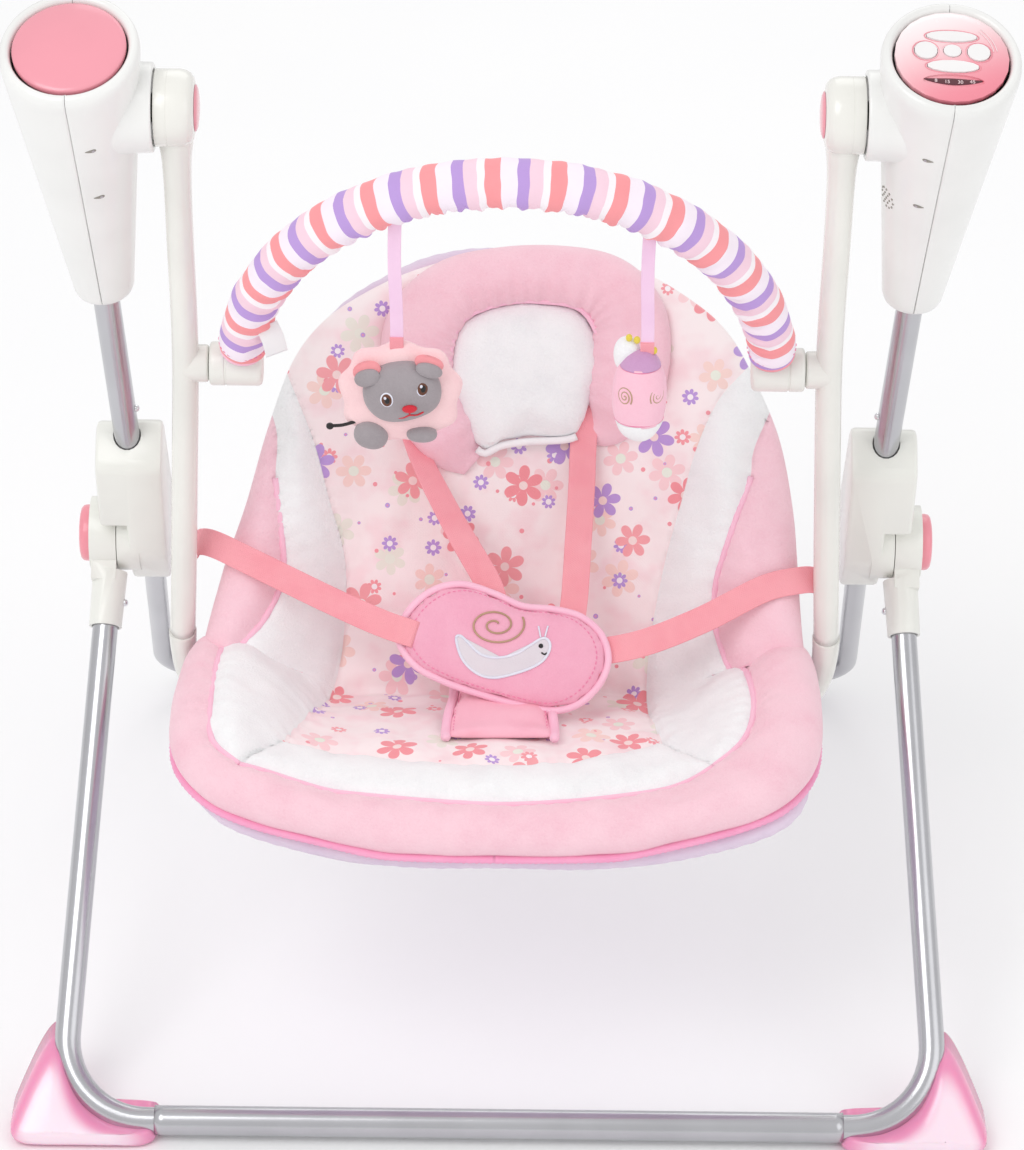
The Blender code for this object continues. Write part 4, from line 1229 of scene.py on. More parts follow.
    def hammock(self) -> bpy.types.Object:
        """The lining sheet that is stretched between the hoops and wraps round them."""
        rim = self.rim(320)
        middle = self.spine(rim)
        heading = unit(middle - rim)
        reach = np.linalg.norm(middle - rim, axis=1)
        joint = np.exp(-(((rim[:, 0] - BIGHT) / 0.03) ** 4)) * (np.abs(rim[:, 1]) > 0.1)
        profile = (
            (0.0125, -0.027), (0.0115, -0.032), (0.0125, -0.038), (0.018, -0.0425), (0.027, -0.042),
            (0.036, -0.036), (0.048, -0.0305)
        )
        rows, heights = [], []
        for inward, height in profile:
            away = inward + joint * (0.055 - inward)
            rows.append(rim + heading * away[:, None])
            heights.append(height + joint * (-0.0285 - height))
        for share in np.linspace(0, 1, 16)[1:]:
            away = 0.056 + share * (reach - 0.056)
            rows.append(rim + heading * away[:, None])
            heights.append(np.full(len(rim), -0.029))
        flat, lift = np.stack(rows), np.stack(heights)
        plan = np.concatenate([flat, flat[:, :1]], 1)[..., ::-1]
        points = self.surface.at(flat[..., 0], flat[..., 1], lift)
        piece = self.skin.grid("seat_hammock", points, Finish.LILAC, (False, True), plan, closed=True)
        wall = piece.modifiers.new("cloth thickness", "SOLIDIFY")
        wall.thickness = 0.0012
        wall.offset = 0
        return piece

    def hoop(self, route: Sequence[tuple[float, float, float]]) -> np.ndarray:
        """A hoop's line under the pad, from its (station, share of the half width, drop) route."""
        rows = self.surface.table["line"]
        half = []
        for station, share, drop in route:
            index = int(round(station * STATION_STEPS))
            y, z, wide, rise = rows[index]
            part = min(1.0, max(0.0, (abs(share) - 0.52) / 0.4))
            along = self.surface.table["along"][index]
            height = rise * part * part * (3 - 2 * part) - 0.024 - drop
            half.append((wide * share, y - along[1] * height, z + along[0] * height))
        other = [(-x, y, z) for x, y, z in reversed(half[:-1])]
        return smooth_line(half + other, 260)

    def hoop_sleeves(self) -> None:
        """The channels of the lining sheet that the hoops run in, with a scalloped edge."""
        for word, route in (("front", self.front_hoop), ("back", self.back_hoop)):
            line = self.hoop(route)
            size = 1 + 0.03 * np.sin(run_of(line) * TAU / 0.012)[:, None]
            piece = self.skin.sweep(
                f"hoop_channel_{word}", line, oval(0.0074, 0.0074, 24), Finish.LILAC, (0.0, 0.2, 1.0),
                scale=size
            )
            settle(piece, Body.SWING)

    def head_roll(self) -> bpy.types.Object:
        """The head cushion's gathered pink roll."""
        rows = smooth_line(self.cushion, 150)
        flat, wide = rows[:, :2], rows[:, 2]
        run = run_of(flat)
        around = np.linspace(0, TAU, 40, endpoint=False)
        ahead = unit(np.gradient(flat, axis=0))
        aside = np.stack([-ahead[:, 1], ahead[:, 0]], 1)
        across = flat[:, None] + aside[:, None] * (wide[:, None] * np.cos(around))[..., None]
        tall = 0.021 * ease(run / 0.03) * ease((run[-1] - run) / 0.03) + 0.004
        lift = np.sin(around) * tall[:, None]
        lift = np.where(lift < 0, lift * 0.25, lift)
        inward = np.clip(np.cos(around) * self.turned_in(flat, aside)[:, None], 0, 1)
        fold = np.sin(run * TAU / 0.0125 + 1.8 * np.sin(run * 70))[:, None]
        lift = lift + 0.0016 * fold * inward**0.7 * (
            np.sin(around) > -0.2
        ) + 0.0006 * ripple(across, 0.03, 12)
        base = self.height(across)[0] + 0.001
        points = self.surface.at(across[..., 0], across[..., 1], base + lift)
        return self.skin.grid("head_cushion_roll", points, Finish.PLUSH, (False, True), caps=True)

    def turned_in(self, flat: np.ndarray, aside: np.ndarray) -> np.ndarray:
        """Which way along the aside direction the cushion's middle lies, as 1 or -1."""
        centre = np.mean(self.middle, axis=0)
        return np.sign(((centre - flat) * aside).sum(1))

    def patch(
        self, name: str, loop: np.ndarray, thick: float, base: float, finish: Finish, waves: float = 0.0008
    ) -> bpy.types.Object:
        """A stuffed patch that lies on the cover inside a loop."""
        centre = loop.mean(0)
        rows, heights = [], []
        shares = [0.0, 0.02, 0.05, 0.1, 0.17, 0.26, 0.36, 0.48, 0.6, 0.72, 0.84, 0.93, 0.985]
        for share in shares[::-1]:
            rows.append(loop + (centre - loop) * share)
            heights.append(np.full(len(loop), thick * swell(np.array(share * 2.1))))
        rows.append(loop + (centre - loop) * 0.03)
        heights.append(np.full(len(loop), -0.004))
        rows.append(loop + (centre - loop) * 0.985)
        heights.append(np.full(len(loop), -0.004))
        flat, lift = np.stack(rows), np.stack(heights)
        ground = self.height(loop[None])[0].mean()
        lift = lift + waves * ripple(flat, 0.035, 21) * (lift > 0) + ground + base
        plan = np.concatenate([flat, flat[:, :1]], 1)[..., ::-1]
        return self.skin.grid(
            name, self.surface.at(flat[..., 0], flat[..., 1], lift), finish, (False, True), plan, caps=True
        )

    def build(self) -> None:
        """Makes the seat's soft pieces and dresses its hoops."""
        self.loops()
        cover = settle(self.pad(), Body.SWING, ["seat_pad"])
        settle(
            self.round_rim("rim_binding", 2.35, oval(0.0022, 0.0050, 12, 3), Finish.BINDING, 0.0042),
            Body.SWING
        )
        for name, line in (("left", "piping"), ("front", "front_piping"), ("right", "right_piping")):
            trimmed = self.lines[
                line
            ][14:] if name == "left" else self.lines[line][:-14] if name == "right" else self.lines[line]
            settle(
                self.cord_along(f"piping_{name}", trimmed, 0.0023, 0.0026, Finish.PIPING), Body.SWING,
            )
        hammock = settle(self.hammock(), Body.SWING, ["seat_sling"])
        roll = settle(self.head_roll(), Body.SWING, ["head_pillow"])
        loop = smooth_line(self.middle, 160, closed=True)
        centre = Stuffing().fill(self.patch("head_cushion_middle", loop, 0.0145, 0.003, Finish.VELOUR))
        settle(centre, Body.SWING)
        sides = int(len(loop) * 0.83)
        hem = np.concatenate([loop[sides - 3 :], loop[:3]])
        for word, line, thick, lift, finish in (
            ("hem", hem, 0.0026, 0.0085, Finish.WHITE_PIPING),
            ("seam", loop[9 : sides - 17], 0.0021, 0.0105, Finish.PIPING),
        ):
            settle(
                self.cord_along(f"head_cushion_{word}", line, thick, lift, finish), Body.SWING
            )
        self.hoop_sleeves()
        self.dress(Finish.TUBE, "front_hoop", "back_hoop")


# ---------------------------------------------------------------- harness


@dataclass
class Harness(Assembly):
    """The shoulder and waist straps, the belly pad and the tab between the legs."""

    seat: Seat
    strap_width: float = 0.0185
    strap_thickness: float = 0.0014
    facing: tuple[float, float, float] = (0.0, -0.77, 0.64)
    belly_centre: tuple[float, float, float] = (0.004, -0.083, 0.2765)
    stuffed: bpy.types.Object | None = None
    # The belly pad's outline in its own plane, as (aside, up).
    belly: Rows2 = (
        (-0.0755, 0.004), (-0.0700, 0.022), (-0.0540, 0.037), (-0.0340, 0.042), (-0.0120, 0.036),
        (0.0080, 0.0275), (0.0290, 0.0255), (0.0480, 0.0205), (0.0620, 0.0080), (0.0665, -0.0090),
        (0.0600, -0.0260), (0.0460, -0.0390), (0.0280, -0.0435), (0.0040, -0.0390), (-0.0200, -0.0325),
        (-0.0450, -0.0240), (-0.0650, -0.0130)
    )

    # The straps' routes, from where they leave the seat to the belly pad.
    shoulder_left: Rows3 = (
        (-0.077, 0.066, 0.395), (-0.069, 0.047, 0.3765), (-0.060, 0.026, 0.361), (-0.046, 0.003, 0.343),
        (-0.030, -0.022, 0.325), (-0.012, -0.047, 0.305), (-0.006, -0.062, 0.292),
    )
    shoulder_right: Rows3 = (
        (0.055, 0.062, 0.398), (0.053, 0.036, 0.365), (0.052, 0.012, 0.344), (0.050, -0.018, 0.322),
        (0.048, -0.048, 0.3), (0.046, -0.064, 0.288),
    )
    waist_left: Rows3 = (
        (-0.2125, -0.024, 0.3165), (-0.2085, -0.029, 0.3235), (-0.1975, -0.036, 0.3255),
        (-0.172, -0.046, 0.318), (-0.122, -0.063, 0.301), (-0.085, -0.077, 0.291), (-0.06, -0.083, 0.285),
    )
    waist_right: Rows3 = (
        (0.2165, -0.037, 0.2995), (0.2120, -0.041, 0.3055), (0.2010, -0.046, 0.3085),
        (0.176, -0.052, 0.305), (0.134, -0.067, 0.289), (0.092, -0.079, 0.277), (0.05, -0.083, 0.270),
    )

    def strap(
        self, name: str, path: Sequence[Sequence[float]], node: str, up: np.ndarray | Sequence[float]
    ) -> None:
        """One webbing strap that stands for its node."""
        line = smooth_line(path, 60)
        facing = smooth_line(up, 60) if np.ndim(up) == 2 else up
        section = oval(self.strap_width / 2, self.strap_thickness / 2, 20, 5)
        piece = self.skin.sweep(name, line, section, Finish.WEBBING, facing)
        settle(piece, Body.SWING, [node])

    def belly_frame(self) -> Matrix:
        """The belly pad's plane, with local Z outwards."""
        out = Vector(self.facing).normalized()
        right = Vector((1, 0, 0))
        up = out.cross(right)
        frame = Matrix((right, up, out)).transposed().to_4x4()
        frame.translation = Vector(self.belly_centre)
        return frame

    def cushion(self) -> bpy.types.Object:
        """The stuffed belly pad."""
        loop = smooth_line(self.belly, 220, closed=True)
        centre = loop.mean(0)
        rows, heights = [], []
        for share in (0.99, 0.93, 0.82, 0.7, 0.58, 0.46, 0.35, 0.26, 0.18, 0.11, 0.06, 0.02, 0.0):
            rows.append(loop + (centre - loop) * share)
            heights.append(np.full(len(loop), 0.0085 * float(swell(np.array(share * 1.9)))))
        for share in (0.03, 0.1, 0.3, 0.6, 0.99):
            rows.append(loop + (centre - loop) * share)
            heights.append(np.full(len(loop), -0.006 * float(swell(np.array(share * 2.5)))))
        flat, lift = np.stack(rows), np.stack(heights)
        run = run_of(np.concatenate([loop, loop[:1]]))[:-1]
        edge = np.exp(-np.abs(lift) / 0.004)
        lift = lift + 0.00045 * np.sin(run * TAU / 0.011) * edge + 0.0004 * ripple(flat, 0.03, 31)
        local = np.concatenate([flat, lift[..., None]], -1)
        plan = np.concatenate([flat, flat[:, :1]], 1)
        return self.skin.grid(
            "belly_cushion", moved(local, self.belly_frame()), Finish.BELLY, (False, True), plan, caps=True
        )

    def on_belly(self, flat: np.ndarray, lift: float = 0.0003) -> np.ndarray:
        """Points just over the belly pad's face, found on the stuffed piece itself."""
        frame = self.belly_frame()
        out = frame.to_3x3() @ Vector((0, 0, 1))
        placed = []
        for x, y in flat.reshape(-1, 2):
            start = frame @ Vector((x, y, 0.03))
            hit, spot, _, _ = self.stuffed.ray_cast(start, -out)
            placed.append((spot if hit else frame @ Vector((x, y, 0.0))) + out * lift)
        return np.array(placed).reshape(*flat.shape[:-1], 3)

    def motif(self) -> None:
        """A plain spiral shell with a rounded body, stitched on the belly pad."""
        turn = np.linspace(0.6, 3.35 * TAU / 1.62, 220)
        wide = 0.0016 + 0.00158 * turn
        wide = np.minimum(wide, 0.0225)
        spiral = np.stack([-0.0100 + 0.9 * wide * np.cos(turn), 0.0135 + 0.62 * wide * np.sin(turn)], 1)
        self.thread("motif_shell", spiral, 0.0007, Finish.TAN_THREAD)
        body = smooth_line(
            (
                (-0.046, 0.0085), (-0.0415, 0.0105), (-0.035, 0.006), (-0.022, -0.0035), (-0.006, -0.006),
                (0.012, -0.003), (0.026, 0.004), (0.038, 0.0095), (0.0445, 0.0065), (0.044, -0.001),
                (0.036, -0.0095), (0.018, -0.0165), (-0.008, -0.0215), (-0.026, -0.018), (-0.040, -0.007)
            ),
            120, closed=True
        )
        body = body * np.array([0.70, 0.88]) + np.array([-0.0045, -0.0035])
        rows = np.stack([body + (body.mean(0) - body) * share for share in (0.0, 0.3, 0.65, 0.97)])
        patch = self.skin.grid(
            "motif_body", self.on_belly(rows, 0.0005), Finish.GREY_PATCH, (False, True), caps=False
        )
        settle(patch, Body.SWING)
        self.thread("motif_edge", np.concatenate([body, body[:1]]), 0.0009, Finish.WHITE_THREAD)
        for index, (x, y, lean) in enumerate(((0.0205, 0.0055, -0.0015), (0.0235, 0.0058, 0.002))):
            horn = smooth_line(((x, y), (x + lean * 0.5, y + 0.004), (x + lean, y + 0.0075)), 14)
            self.thread(f"motif_horn_{index + 1}", horn, 0.0006, Finish.WHITE_THREAD)
        eye = oval(0.0009, 0.0009, 16) + np.array([0.0208, -0.0005])
        self.thread("motif_eye", np.concatenate([eye, eye[:1]]), 0.0008, Finish.DARK_THREAD)
        smile = smooth_line(((0.0212, -0.0050), (0.0232, -0.0062), (0.0250, -0.0052)), 14)
        self.thread("motif_smile", smile, 0.0006, Finish.DARK_THREAD)

    def thread(self, name: str, flat: np.ndarray, radius: float, finish: Finish) -> None:
        """A line of stitching on the belly pad's face."""
        line = evenly(flat, max(10, int(run_of(flat)[-1] / 0.0009)))
        path = self.on_belly(line, 0.0006)
        settle(
            self.skin.sweep(name, path, oval(radius, radius * 0.7, 8), finish, self.facing), Body.SWING,
        )

    def tab_arch(self, run: np.ndarray) -> np.ndarray:
        """How far the tab stands off the seat at a run."""
        return 0.006 * ease((run - 0.118) / 0.03) + 0.016 * ease((run - 0.165) / 0.05)

    def tab_line(self, side: Side, first: float, last: float, half: float, lift: float) -> np.ndarray:
        """A line along the tab between two runs, so far from its middle and over its arch."""
        run = np.linspace(first, last, 40)
        aside = -0.002 + side.value * (half - 0.0045 * ease((run - 0.12) / 0.06))
        base = self.seat.height(np.stack([run, 0 * run], 1))[0].max()
        return self.seat.surface.at(run, aside, base + self.tab_arch(run) + lift)

    def tab(self) -> bpy.types.Object:
        """The padded tab that comes up between the legs."""
        run = np.linspace(0.111, 0.212, 44)
        half = 0.0365 - 0.0045 * ease((run - 0.12) / 0.06)
        across = np.linspace(-1, 1, 40)
        flat = np.stack(np.broadcast_arrays(run[:, None], -0.002 + half[:, None] * across), -1)
        edge = (1 - np.abs(across)) / 0.3
        arch = self.tab_arch(run)
        top = arch[:, None] + 0.0062 * swell(edge) + 0.0006 * ripple(flat, 0.03, 41)
        low = arch[:, None] + np.zeros_like(top) - 0.0005
        base = self.seat.height(flat)[0].max()
        upper = self.seat.surface.at(flat[..., 0], flat[..., 1], base + top)
        lower = self.seat.surface.at(flat[..., 0], flat[..., 1], base + low)
        ring = np.concatenate([upper, lower[:, ::-1]], 1)
        return self.skin.grid("crotch_tab", ring, Finish.CROTCH, (False, True), caps=True)

    def tab_edges(self) -> None:
        """Bound edges of the tab."""
        for side in Side:
            path = self.tab_line(side, 0.110, BIGHT, 0.0365, 0.0022)
            piece = self.skin.sweep(f"tab_binding_{side.word}", path, oval(0.0034, 0.003, 12), Finish.PIPING)
            settle(piece, Body.SWING)

    def build(self) -> None:
        """Makes the harness."""
        level = [self.facing]
        twist = [(0.75, -0.4, 0.5), (0.5, -0.6, 0.6), (0.1, -0.75, 0.6), *level * 4]
        self.strap("shoulder_webbing_left", self.shoulder_left, "shoulder_strap_left", twist)
        self.strap("shoulder_webbing_right", self.shoulder_right, "shoulder_strap_right", self.facing)
        rolled = ((0.8, -0.5, 0.5), (0.5, -0.6, 0.7), (0.25, -0.7, 0.7), (0.1, -0.77, 0.64))
        for side, route in ((Side.LEFT, self.waist_left), (Side.RIGHT, self.waist_right)):
            ways = [(side.value * x, y, z) for x, y, z in rolled] + level * 3
            self.strap(f"waist_webbing_{side.word}", route, f"waist_strap_{side.word}", ways)
        self.stuffed = belly = Stuffing(reach=0.0016).fill(self.cushion())
        settle(belly, Body.SWING, ["belly_pad"])
        loop = smooth_line(self.belly, 260, closed=True)
        ring = moved(np.concatenate([loop, np.zeros((len(loop), 1))], 1), self.belly_frame())
        settle(
            self.skin.sweep(
                "belly_piping", ring, oval(0.0026, 0.0028, 12), Finish.PIPING, self.facing, closed=True
            ),
            Body.SWING
        )
        self.motif()
        settle(Stuffing(voxel=0.004, reach=0.002).fill(self.tab()), Body.SWING)
        self.tab_edges()


# ---------------------------------------------------------------- places on the stand and the swing

UPRIGHT_FOOT, UPRIGHT_TOP = Vector((0.2552, 0.033, 0.2905)), Vector((0.2745, -0.0763, 0.7183))
LEG_TOP, FRONT_CORNER = Vector((0.2747, 0.033, 0.2905)), Vector((0.2965, -0.269, 0.0125))
REAR_TOP, REAR_CORNER = Vector((0.2487, 0.033, 0.2905)), Vector((0.268, 0.2743, 0.0092))
PIVOT, TOY_AXIS = Vector((0.0, -0.064, 0.6701)), Vector((0.0, -0.0525, 0.478))
HOUSING_LENGTH = 0.2064
PANEL_TILT = math.radians(10)


def upright_frame() -> Matrix:
    """Local Z up the right-hand housing from its foot, X outboard, Y backwards."""
    up = (UPRIGHT_TOP - UPRIGHT_FOOT).normalized()
    outboard = (Vector((1, 0, 0)) - up * up.x).normalized()
    turn = Matrix((outboard, up.cross(outboard), up)).transposed().to_4x4()
    return Matrix.Translation(UPRIGHT_TOP - up * HOUSING_LENGTH) @ turn


def panel_frame() -> Matrix:
    """The housing's frame moved to its top and tilted towards the front."""
    return upright_frame() @ Matrix.Translation((0, 0, HOUSING_LENGTH)) @ Matrix.Rotation(PANEL_TILT, 4, "X")


def mirrored(side: Side) -> Matrix:
    """Takes a right-hand place to the side."""
    return Matrix.Diagonal((side.value, 1, 1, 1))


def across_x(spot: Vector) -> Matrix:
    """Local Z along +X, through the spot's Y and Z."""
    return Matrix.Translation((0, spot.y, spot.z)) @ Matrix.Rotation(math.pi / 2, 4, "Y")


def towards(start: Vector, end: Vector, distance: float) -> Vector:
    """The point so far from the start on the line to the end."""
    return start + (end - start).normalized() * distance


def bend(start: Vector, corner: Vector, end: Vector, radius: float, count: int = 14) -> np.ndarray:
    """A line from start to end that turns at the corner with the given radius."""
    before, after = (start - corner).normalized(), (end - corner).normalized()
    half = before.angle(after) / 2
    middle = corner + (before + after).normalized() * (radius / math.sin(half))
    first, last = corner + before * (radius / math.tan(half)), corner + after * (radius / math.tan(half))
    spoke, other = (first - middle).normalized(), (last - middle).normalized()
    arc = [middle + spoke.slerp(other, index / count) * radius for index in range(count + 1)]
    return np.array([start, *arc, end])


def refined(points: Sequence[tuple[float, float]], step: float) -> np.ndarray:
    """The points with more put between those that are further apart than the step."""
    rows = [np.array(points[0])]
    for first, second in zip(points, points[1:]):
        count = max(1, math.ceil(math.dist(first, second) / step))
        rows += [
            np.array(first) + (np.array(second) - np.array(first)) * part / count
            for part in range(1, count + 1)
        ]
    return np.array(rows)


def soften(width: float, *nodes: str) -> None:
    """Round the edges of frame nodes that stay visible, and shade them smoothly."""
    for node in nodes:
        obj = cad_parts[node]
        weld = obj.modifiers.new("weld", "WELD")
        weld.merge_threshold = 0.00001
        if width:
            flat = obj.modifiers.new("flat faces", "DECIMATE")
            flat.decimate_type = "DISSOLVE"
            flat.angle_limit = math.radians(1)
            edge = obj.modifiers.new("round edges", "BEVEL")
            edge.width = width
            edge.segments = 3
            edge.limit_method = "ANGLE"
            edge.angle_limit = math.radians(38)
            edge.harden_normals = True
        obj.data.shade_smooth()


# ---------------------------------------------------------------- stand


@dataclass
class Stand(Assembly):
    """The folding stand's tubes, feet, connectors and fold hinges."""

    leg: float = 0.0088
    rear: float = 0.0078
    front_bar: float = 0.0102
    rear_bar: float = 0.0092
    turn: float = 0.055
    shoe: Rows2 = (
        (0.2320, 0.0010), (0.2500, 0.0), (0.2800, 0.0), (0.3150, 0.0), (0.3270, 0.0030), (0.3300, 0.0100),
        (0.3255, 0.0200), (0.3150, 0.0370), (0.3070, 0.0465), (0.3010, 0.0490), (0.2965, 0.0455),
        (0.2920, 0.0360), (0.2840, 0.0240), (0.2730, 0.0165), (0.2600, 0.0127), (0.2450, 0.0118),
        (0.2330, 0.0110)
    )

    def tube(self, name: str, path: np.ndarray, radius: float, body: Body, node: str) -> None:
        """One drawn tube that stands for its node."""
        count = max(24, int(run_of(path)[-1] / 0.006))
        line = evenly(path, count)
        settle(
            self.skin.sweep(name, line, oval(radius, radius, 32), Finish.TUBE, (0.31, 0.9, 0.3)), body,
            [node]
        )

    def build(self) -> None:
        """Makes the tubes and dresses the mouldings."""
        for side in Side:
            flip = mirrored(side)
            corner, rear_corner = flip @ FRONT_CORNER, flip @ REAR_CORNER
            front_end, rear_end = corner.copy(), rear_corner.copy()
            front_end.x, rear_end.x = side.value * 0.2125, side.value * 0.18
            leg = bend(flip @ towards(LEG_TOP, FRONT_CORNER, 0.033), corner, front_end, self.turn)
            self.tube(
                f"front_leg_tube_{side.word}", leg, self.leg, Body.FRONT_FRAME, f"front_leg_{side.word}"
            )
            back = bend(flip @ towards(REAR_TOP, REAR_CORNER, 0.018), rear_corner, rear_end, self.turn)
            self.tube(f"rear_leg_tube_{side.word}", back, self.rear, Body.STAND, f"rear_leg_{side.word}")
            upper = np.array(
                [
                    flip @ towards(UPRIGHT_FOOT, UPRIGHT_TOP, 0.038),
                    flip @ towards(UPRIGHT_FOOT, UPRIGHT_TOP, 0.28)
                ]
            )
            self.tube(f"upright_tube_{side.word}", upper, self.leg, Body.STAND, f"upper_tube_{side.word}")
            self.button(side)
            soften(0.0022, f"connector_{side.word}", f"hinge_hub_{side.word}")
            self.foot(side)
        for name, end, half, radius, body in (
            ("front", FRONT_CORNER, 0.2325, self.front_bar, Body.FRONT_FRAME),
            ("rear", REAR_CORNER, 0.2, self.rear_bar, Body.STAND),
        ):
            line = np.array([(-half, end.y, end.z), (half, end.y, end.z)])
            self.tube(f"{name}_cross_tube", line, radius, body, f"{name}_crossbar")
        self.dress(
            Finish.JOINT, *(f"{name}_{side.word}" for name in ("connector", "hinge_hub") for side in Side)
        )
        self.dress(Finish.STEEL, *(f"fold_pin_{side.word}" for side in Side))

    def foot(self, side: Side) -> None:
        """A half-clear corner shoe, deeper in colour towards its edges, with a painted highlight paler in its
        middle.
        """
        outline = smooth_line(self.shoe, 110, closed=True)
        middle = np.array([0.304, 0.014])
        rows, edge = [], []
        for y, share in (
            (-0.2852, 0.06), (-0.2852, 0.3), (-0.2850, 0.55), (-0.2845, 0.75), (-0.2828, 0.89),
            (-0.2785, 0.97), (-0.271, 1.0), (-0.249, 1.0), (-0.248, 0.9), (-0.248, 0.06)
        ):
            flat = middle + (outline - middle) * share
            flat[:, 1] = np.maximum(flat[:, 1], 0.0)
            rows.append(
                np.stack([flat[:, 0], y + np.maximum(0, flat[:, 1] - 0.0125) * 1.086, flat[:, 1]], 1)
            )
            # Low weight in the middle gives the foot plastic's painted highlight.
            edge.append(np.full(len(outline), share**3))
        points = moved(np.stack(rows), mirrored(side))
        piece = self.skin.grid(f"foot_shoe_{side.word}", points, Finish.FOOT, (False, True), caps=True)
        store(piece, "edge", np.stack(edge))
        settle(piece, Body.FRONT_FRAME, [f"front_foot_{side.word}"])

    def button(self, side: Side) -> None:
        """The domed fold button in the hub's pocket."""
        profile = (
            (0.0, 0.2835), (0.0194, 0.2835), (0.0198, 0.2839), (0.0198, 0.2935), (0.0193, 0.2955),
            (0.0178, 0.2969)
        )
        profile += ((0.0150, 0.2976), (0.0080, 0.2980), (0.0, 0.2980))
        piece = self.skin.lathe(
            f"button_{side.word}", profile, mirrored(side) @ across_x(UPRIGHT_FOOT), Finish.BUTTON, 72,
            sharp=50
        )
        settle(piece, Body[f"BUTTON_{side.name}"], [f"fold_button_{side.word}"])


# ---------------------------------------------------------------- housings


@dataclass
class Housings(Assembly):
    """The two conical housings with their lids, collars, screws and control panel."""

    outer: Rows2 = (
        (0.0102, 0.0002), (0.0150, 0.0002), (0.0172, 0.0008), (0.0188, 0.0024), (0.0199, 0.0055),
        (0.0206, 0.0110), (0.0317, 0.1000), (0.0438, 0.1960), (0.0441, 0.2000), (0.0438, 0.2028),
        (0.0427, 0.2049), (0.0410, 0.2061), (0.0393, 0.2061), (0.0379, 0.2050), (0.0371, 0.2034),
        (0.0366, 0.2000)
    )
    lining: Rows2 = ((0.0370, 0.1960), (0.0291, 0.1000), (0.0181, 0.0140), (0.0102, 0.0120))
    # Keys on the panel: x, y, half width, half height.
    keys: Rows4 = (
        (0.0, 0.0145, 0.016, 0.0042), (-0.0165, 0.0025, 0.0072, 0.0068), (0.0, 0.0028, 0.0056, 0.0048),
        (0.0165, 0.0025, 0.0072, 0.0068), (0.0, -0.0095, 0.0163, 0.0047)
    )

    def radius(self, height: float) -> float:
        """The cone's radius at a height."""
        return float(
            np.interp(
                height, [point[1] for point in self.outer[5:9]], [point[0] for point in self.outer[5:9]]
            )
        )

    def shear(self, local: np.ndarray) -> np.ndarray:
        """The points with the housing's top tilted towards the front."""
        local = local.copy()
        share = np.clip((local[..., 2] - 0.1) / 0.09, 0, 1)
        local[..., 2] += math.tan(PANEL_TILT) * local[..., 1] * share
        return local

    def shell(self, side: Side, outboard: bool) -> None:
        """One half of a housing, with a fine groove where the halves meet."""
        outer = refined(self.outer, 0.012)
        ring = np.concatenate([outer, refined(self.lining, 0.02)])
        inside_part = np.arange(len(ring)) >= len(outer)
        sign = 1 if outboard else -1
        quarter = math.pi / 2
        angles = np.array(
            [
                -quarter, -quarter + 0.016, *np.linspace(-quarter + 0.05, quarter - 0.05, 46),
                quarter - 0.016, quarter
            ]
        )
        radius = np.repeat(ring[:, 0][None], len(angles), 0)
        radius[[0, -1]] -= np.where(inside_part, 0, 0.00055)
        local = np.stack(
            [
                sign * (radius * np.cos(angles)[:, None] + 0.00015),
                radius * np.sin(angles)[:, None],
                np.repeat(ring[:, 1][None], len(angles), 0),
            ],
            -1,
        )
        word = "outer" if outboard else "inner"
        points = moved(self.shear(local), mirrored(side) @ upright_frame())
        piece = self.skin.grid(
            f"shell_{word}_{side.word}", points, Finish.HOUSING, (False, True), caps=True, sharp=50
        )
        settle(piece, Body.STAND, [f"housing_{word}_{side.word}"])

    def collar(self, side: Side) -> None:
        """The round pivot collar, which flares into the cone."""
        profile = (
            (0.0096, 0.2256), (0.0245, 0.2256), (0.0250, 0.2242), (0.0276, 0.2242), (0.0284, 0.2247),
            (0.0287, 0.2258)
        )
        profile += (
            (0.0287, 0.2300), (0.0290, 0.2370), (0.0297, 0.2430), (0.0312, 0.2490), (0.0335, 0.2545),
            (0.0096, 0.2545)
        )
        points = moved(turned(profile, 96), mirrored(side) @ across_x(PIVOT))
        piece = self.skin.grid(f"pivot_collar_{side.word}", points, Finish.HOUSING, (True, True), sharp=45)
        settle(piece, Body.STAND)

    def on_cone(self, height: float, angle: float, lift: float) -> tuple[np.ndarray, np.ndarray]:
        """A point over the cone and the way out of it, in the housing's frame."""
        reach = self.radius(height) + lift
        spot = np.array([reach * math.cos(angle), reach * math.sin(angle), height])
        return self.shear(spot), np.array([math.cos(angle), math.sin(angle), -0.12])

    def recess(self, side: Side, index: int, height: float, angle: float) -> None:
        """A small teardrop screw well in the cone's wall, coloured dark grey as painted shade."""
        outline = smooth_line(
            (
                (-0.0016, -0.0013), (0.0012, -0.0012), (0.0046, 0.0001), (0.0012, 0.0013), (-0.0016, 0.0014),
                (-0.0028, 0.0)
            ),
            40, closed=True
        )
        rows = []
        for share, sink in ((1.0, 0.00012), (0.86, 0.0004), (0.7, 0.0004), (0.02, 0.0004)):
            row = []
            for along, up in outline * share:
                spot, _ = self.on_cone(height + up, angle + along / self.radius(height), sink)
                row.append(spot)
            rows.append(row)
        points = moved(np.array(rows), mirrored(side) @ upright_frame())
        # The well's dark grey is painted shade.
        piece = self.skin.grid(
            f"screw_well_{side.word}_{index}", points, Finish.SHADOW, (False, True), caps=True
        )
        settle(piece, Body.STAND)

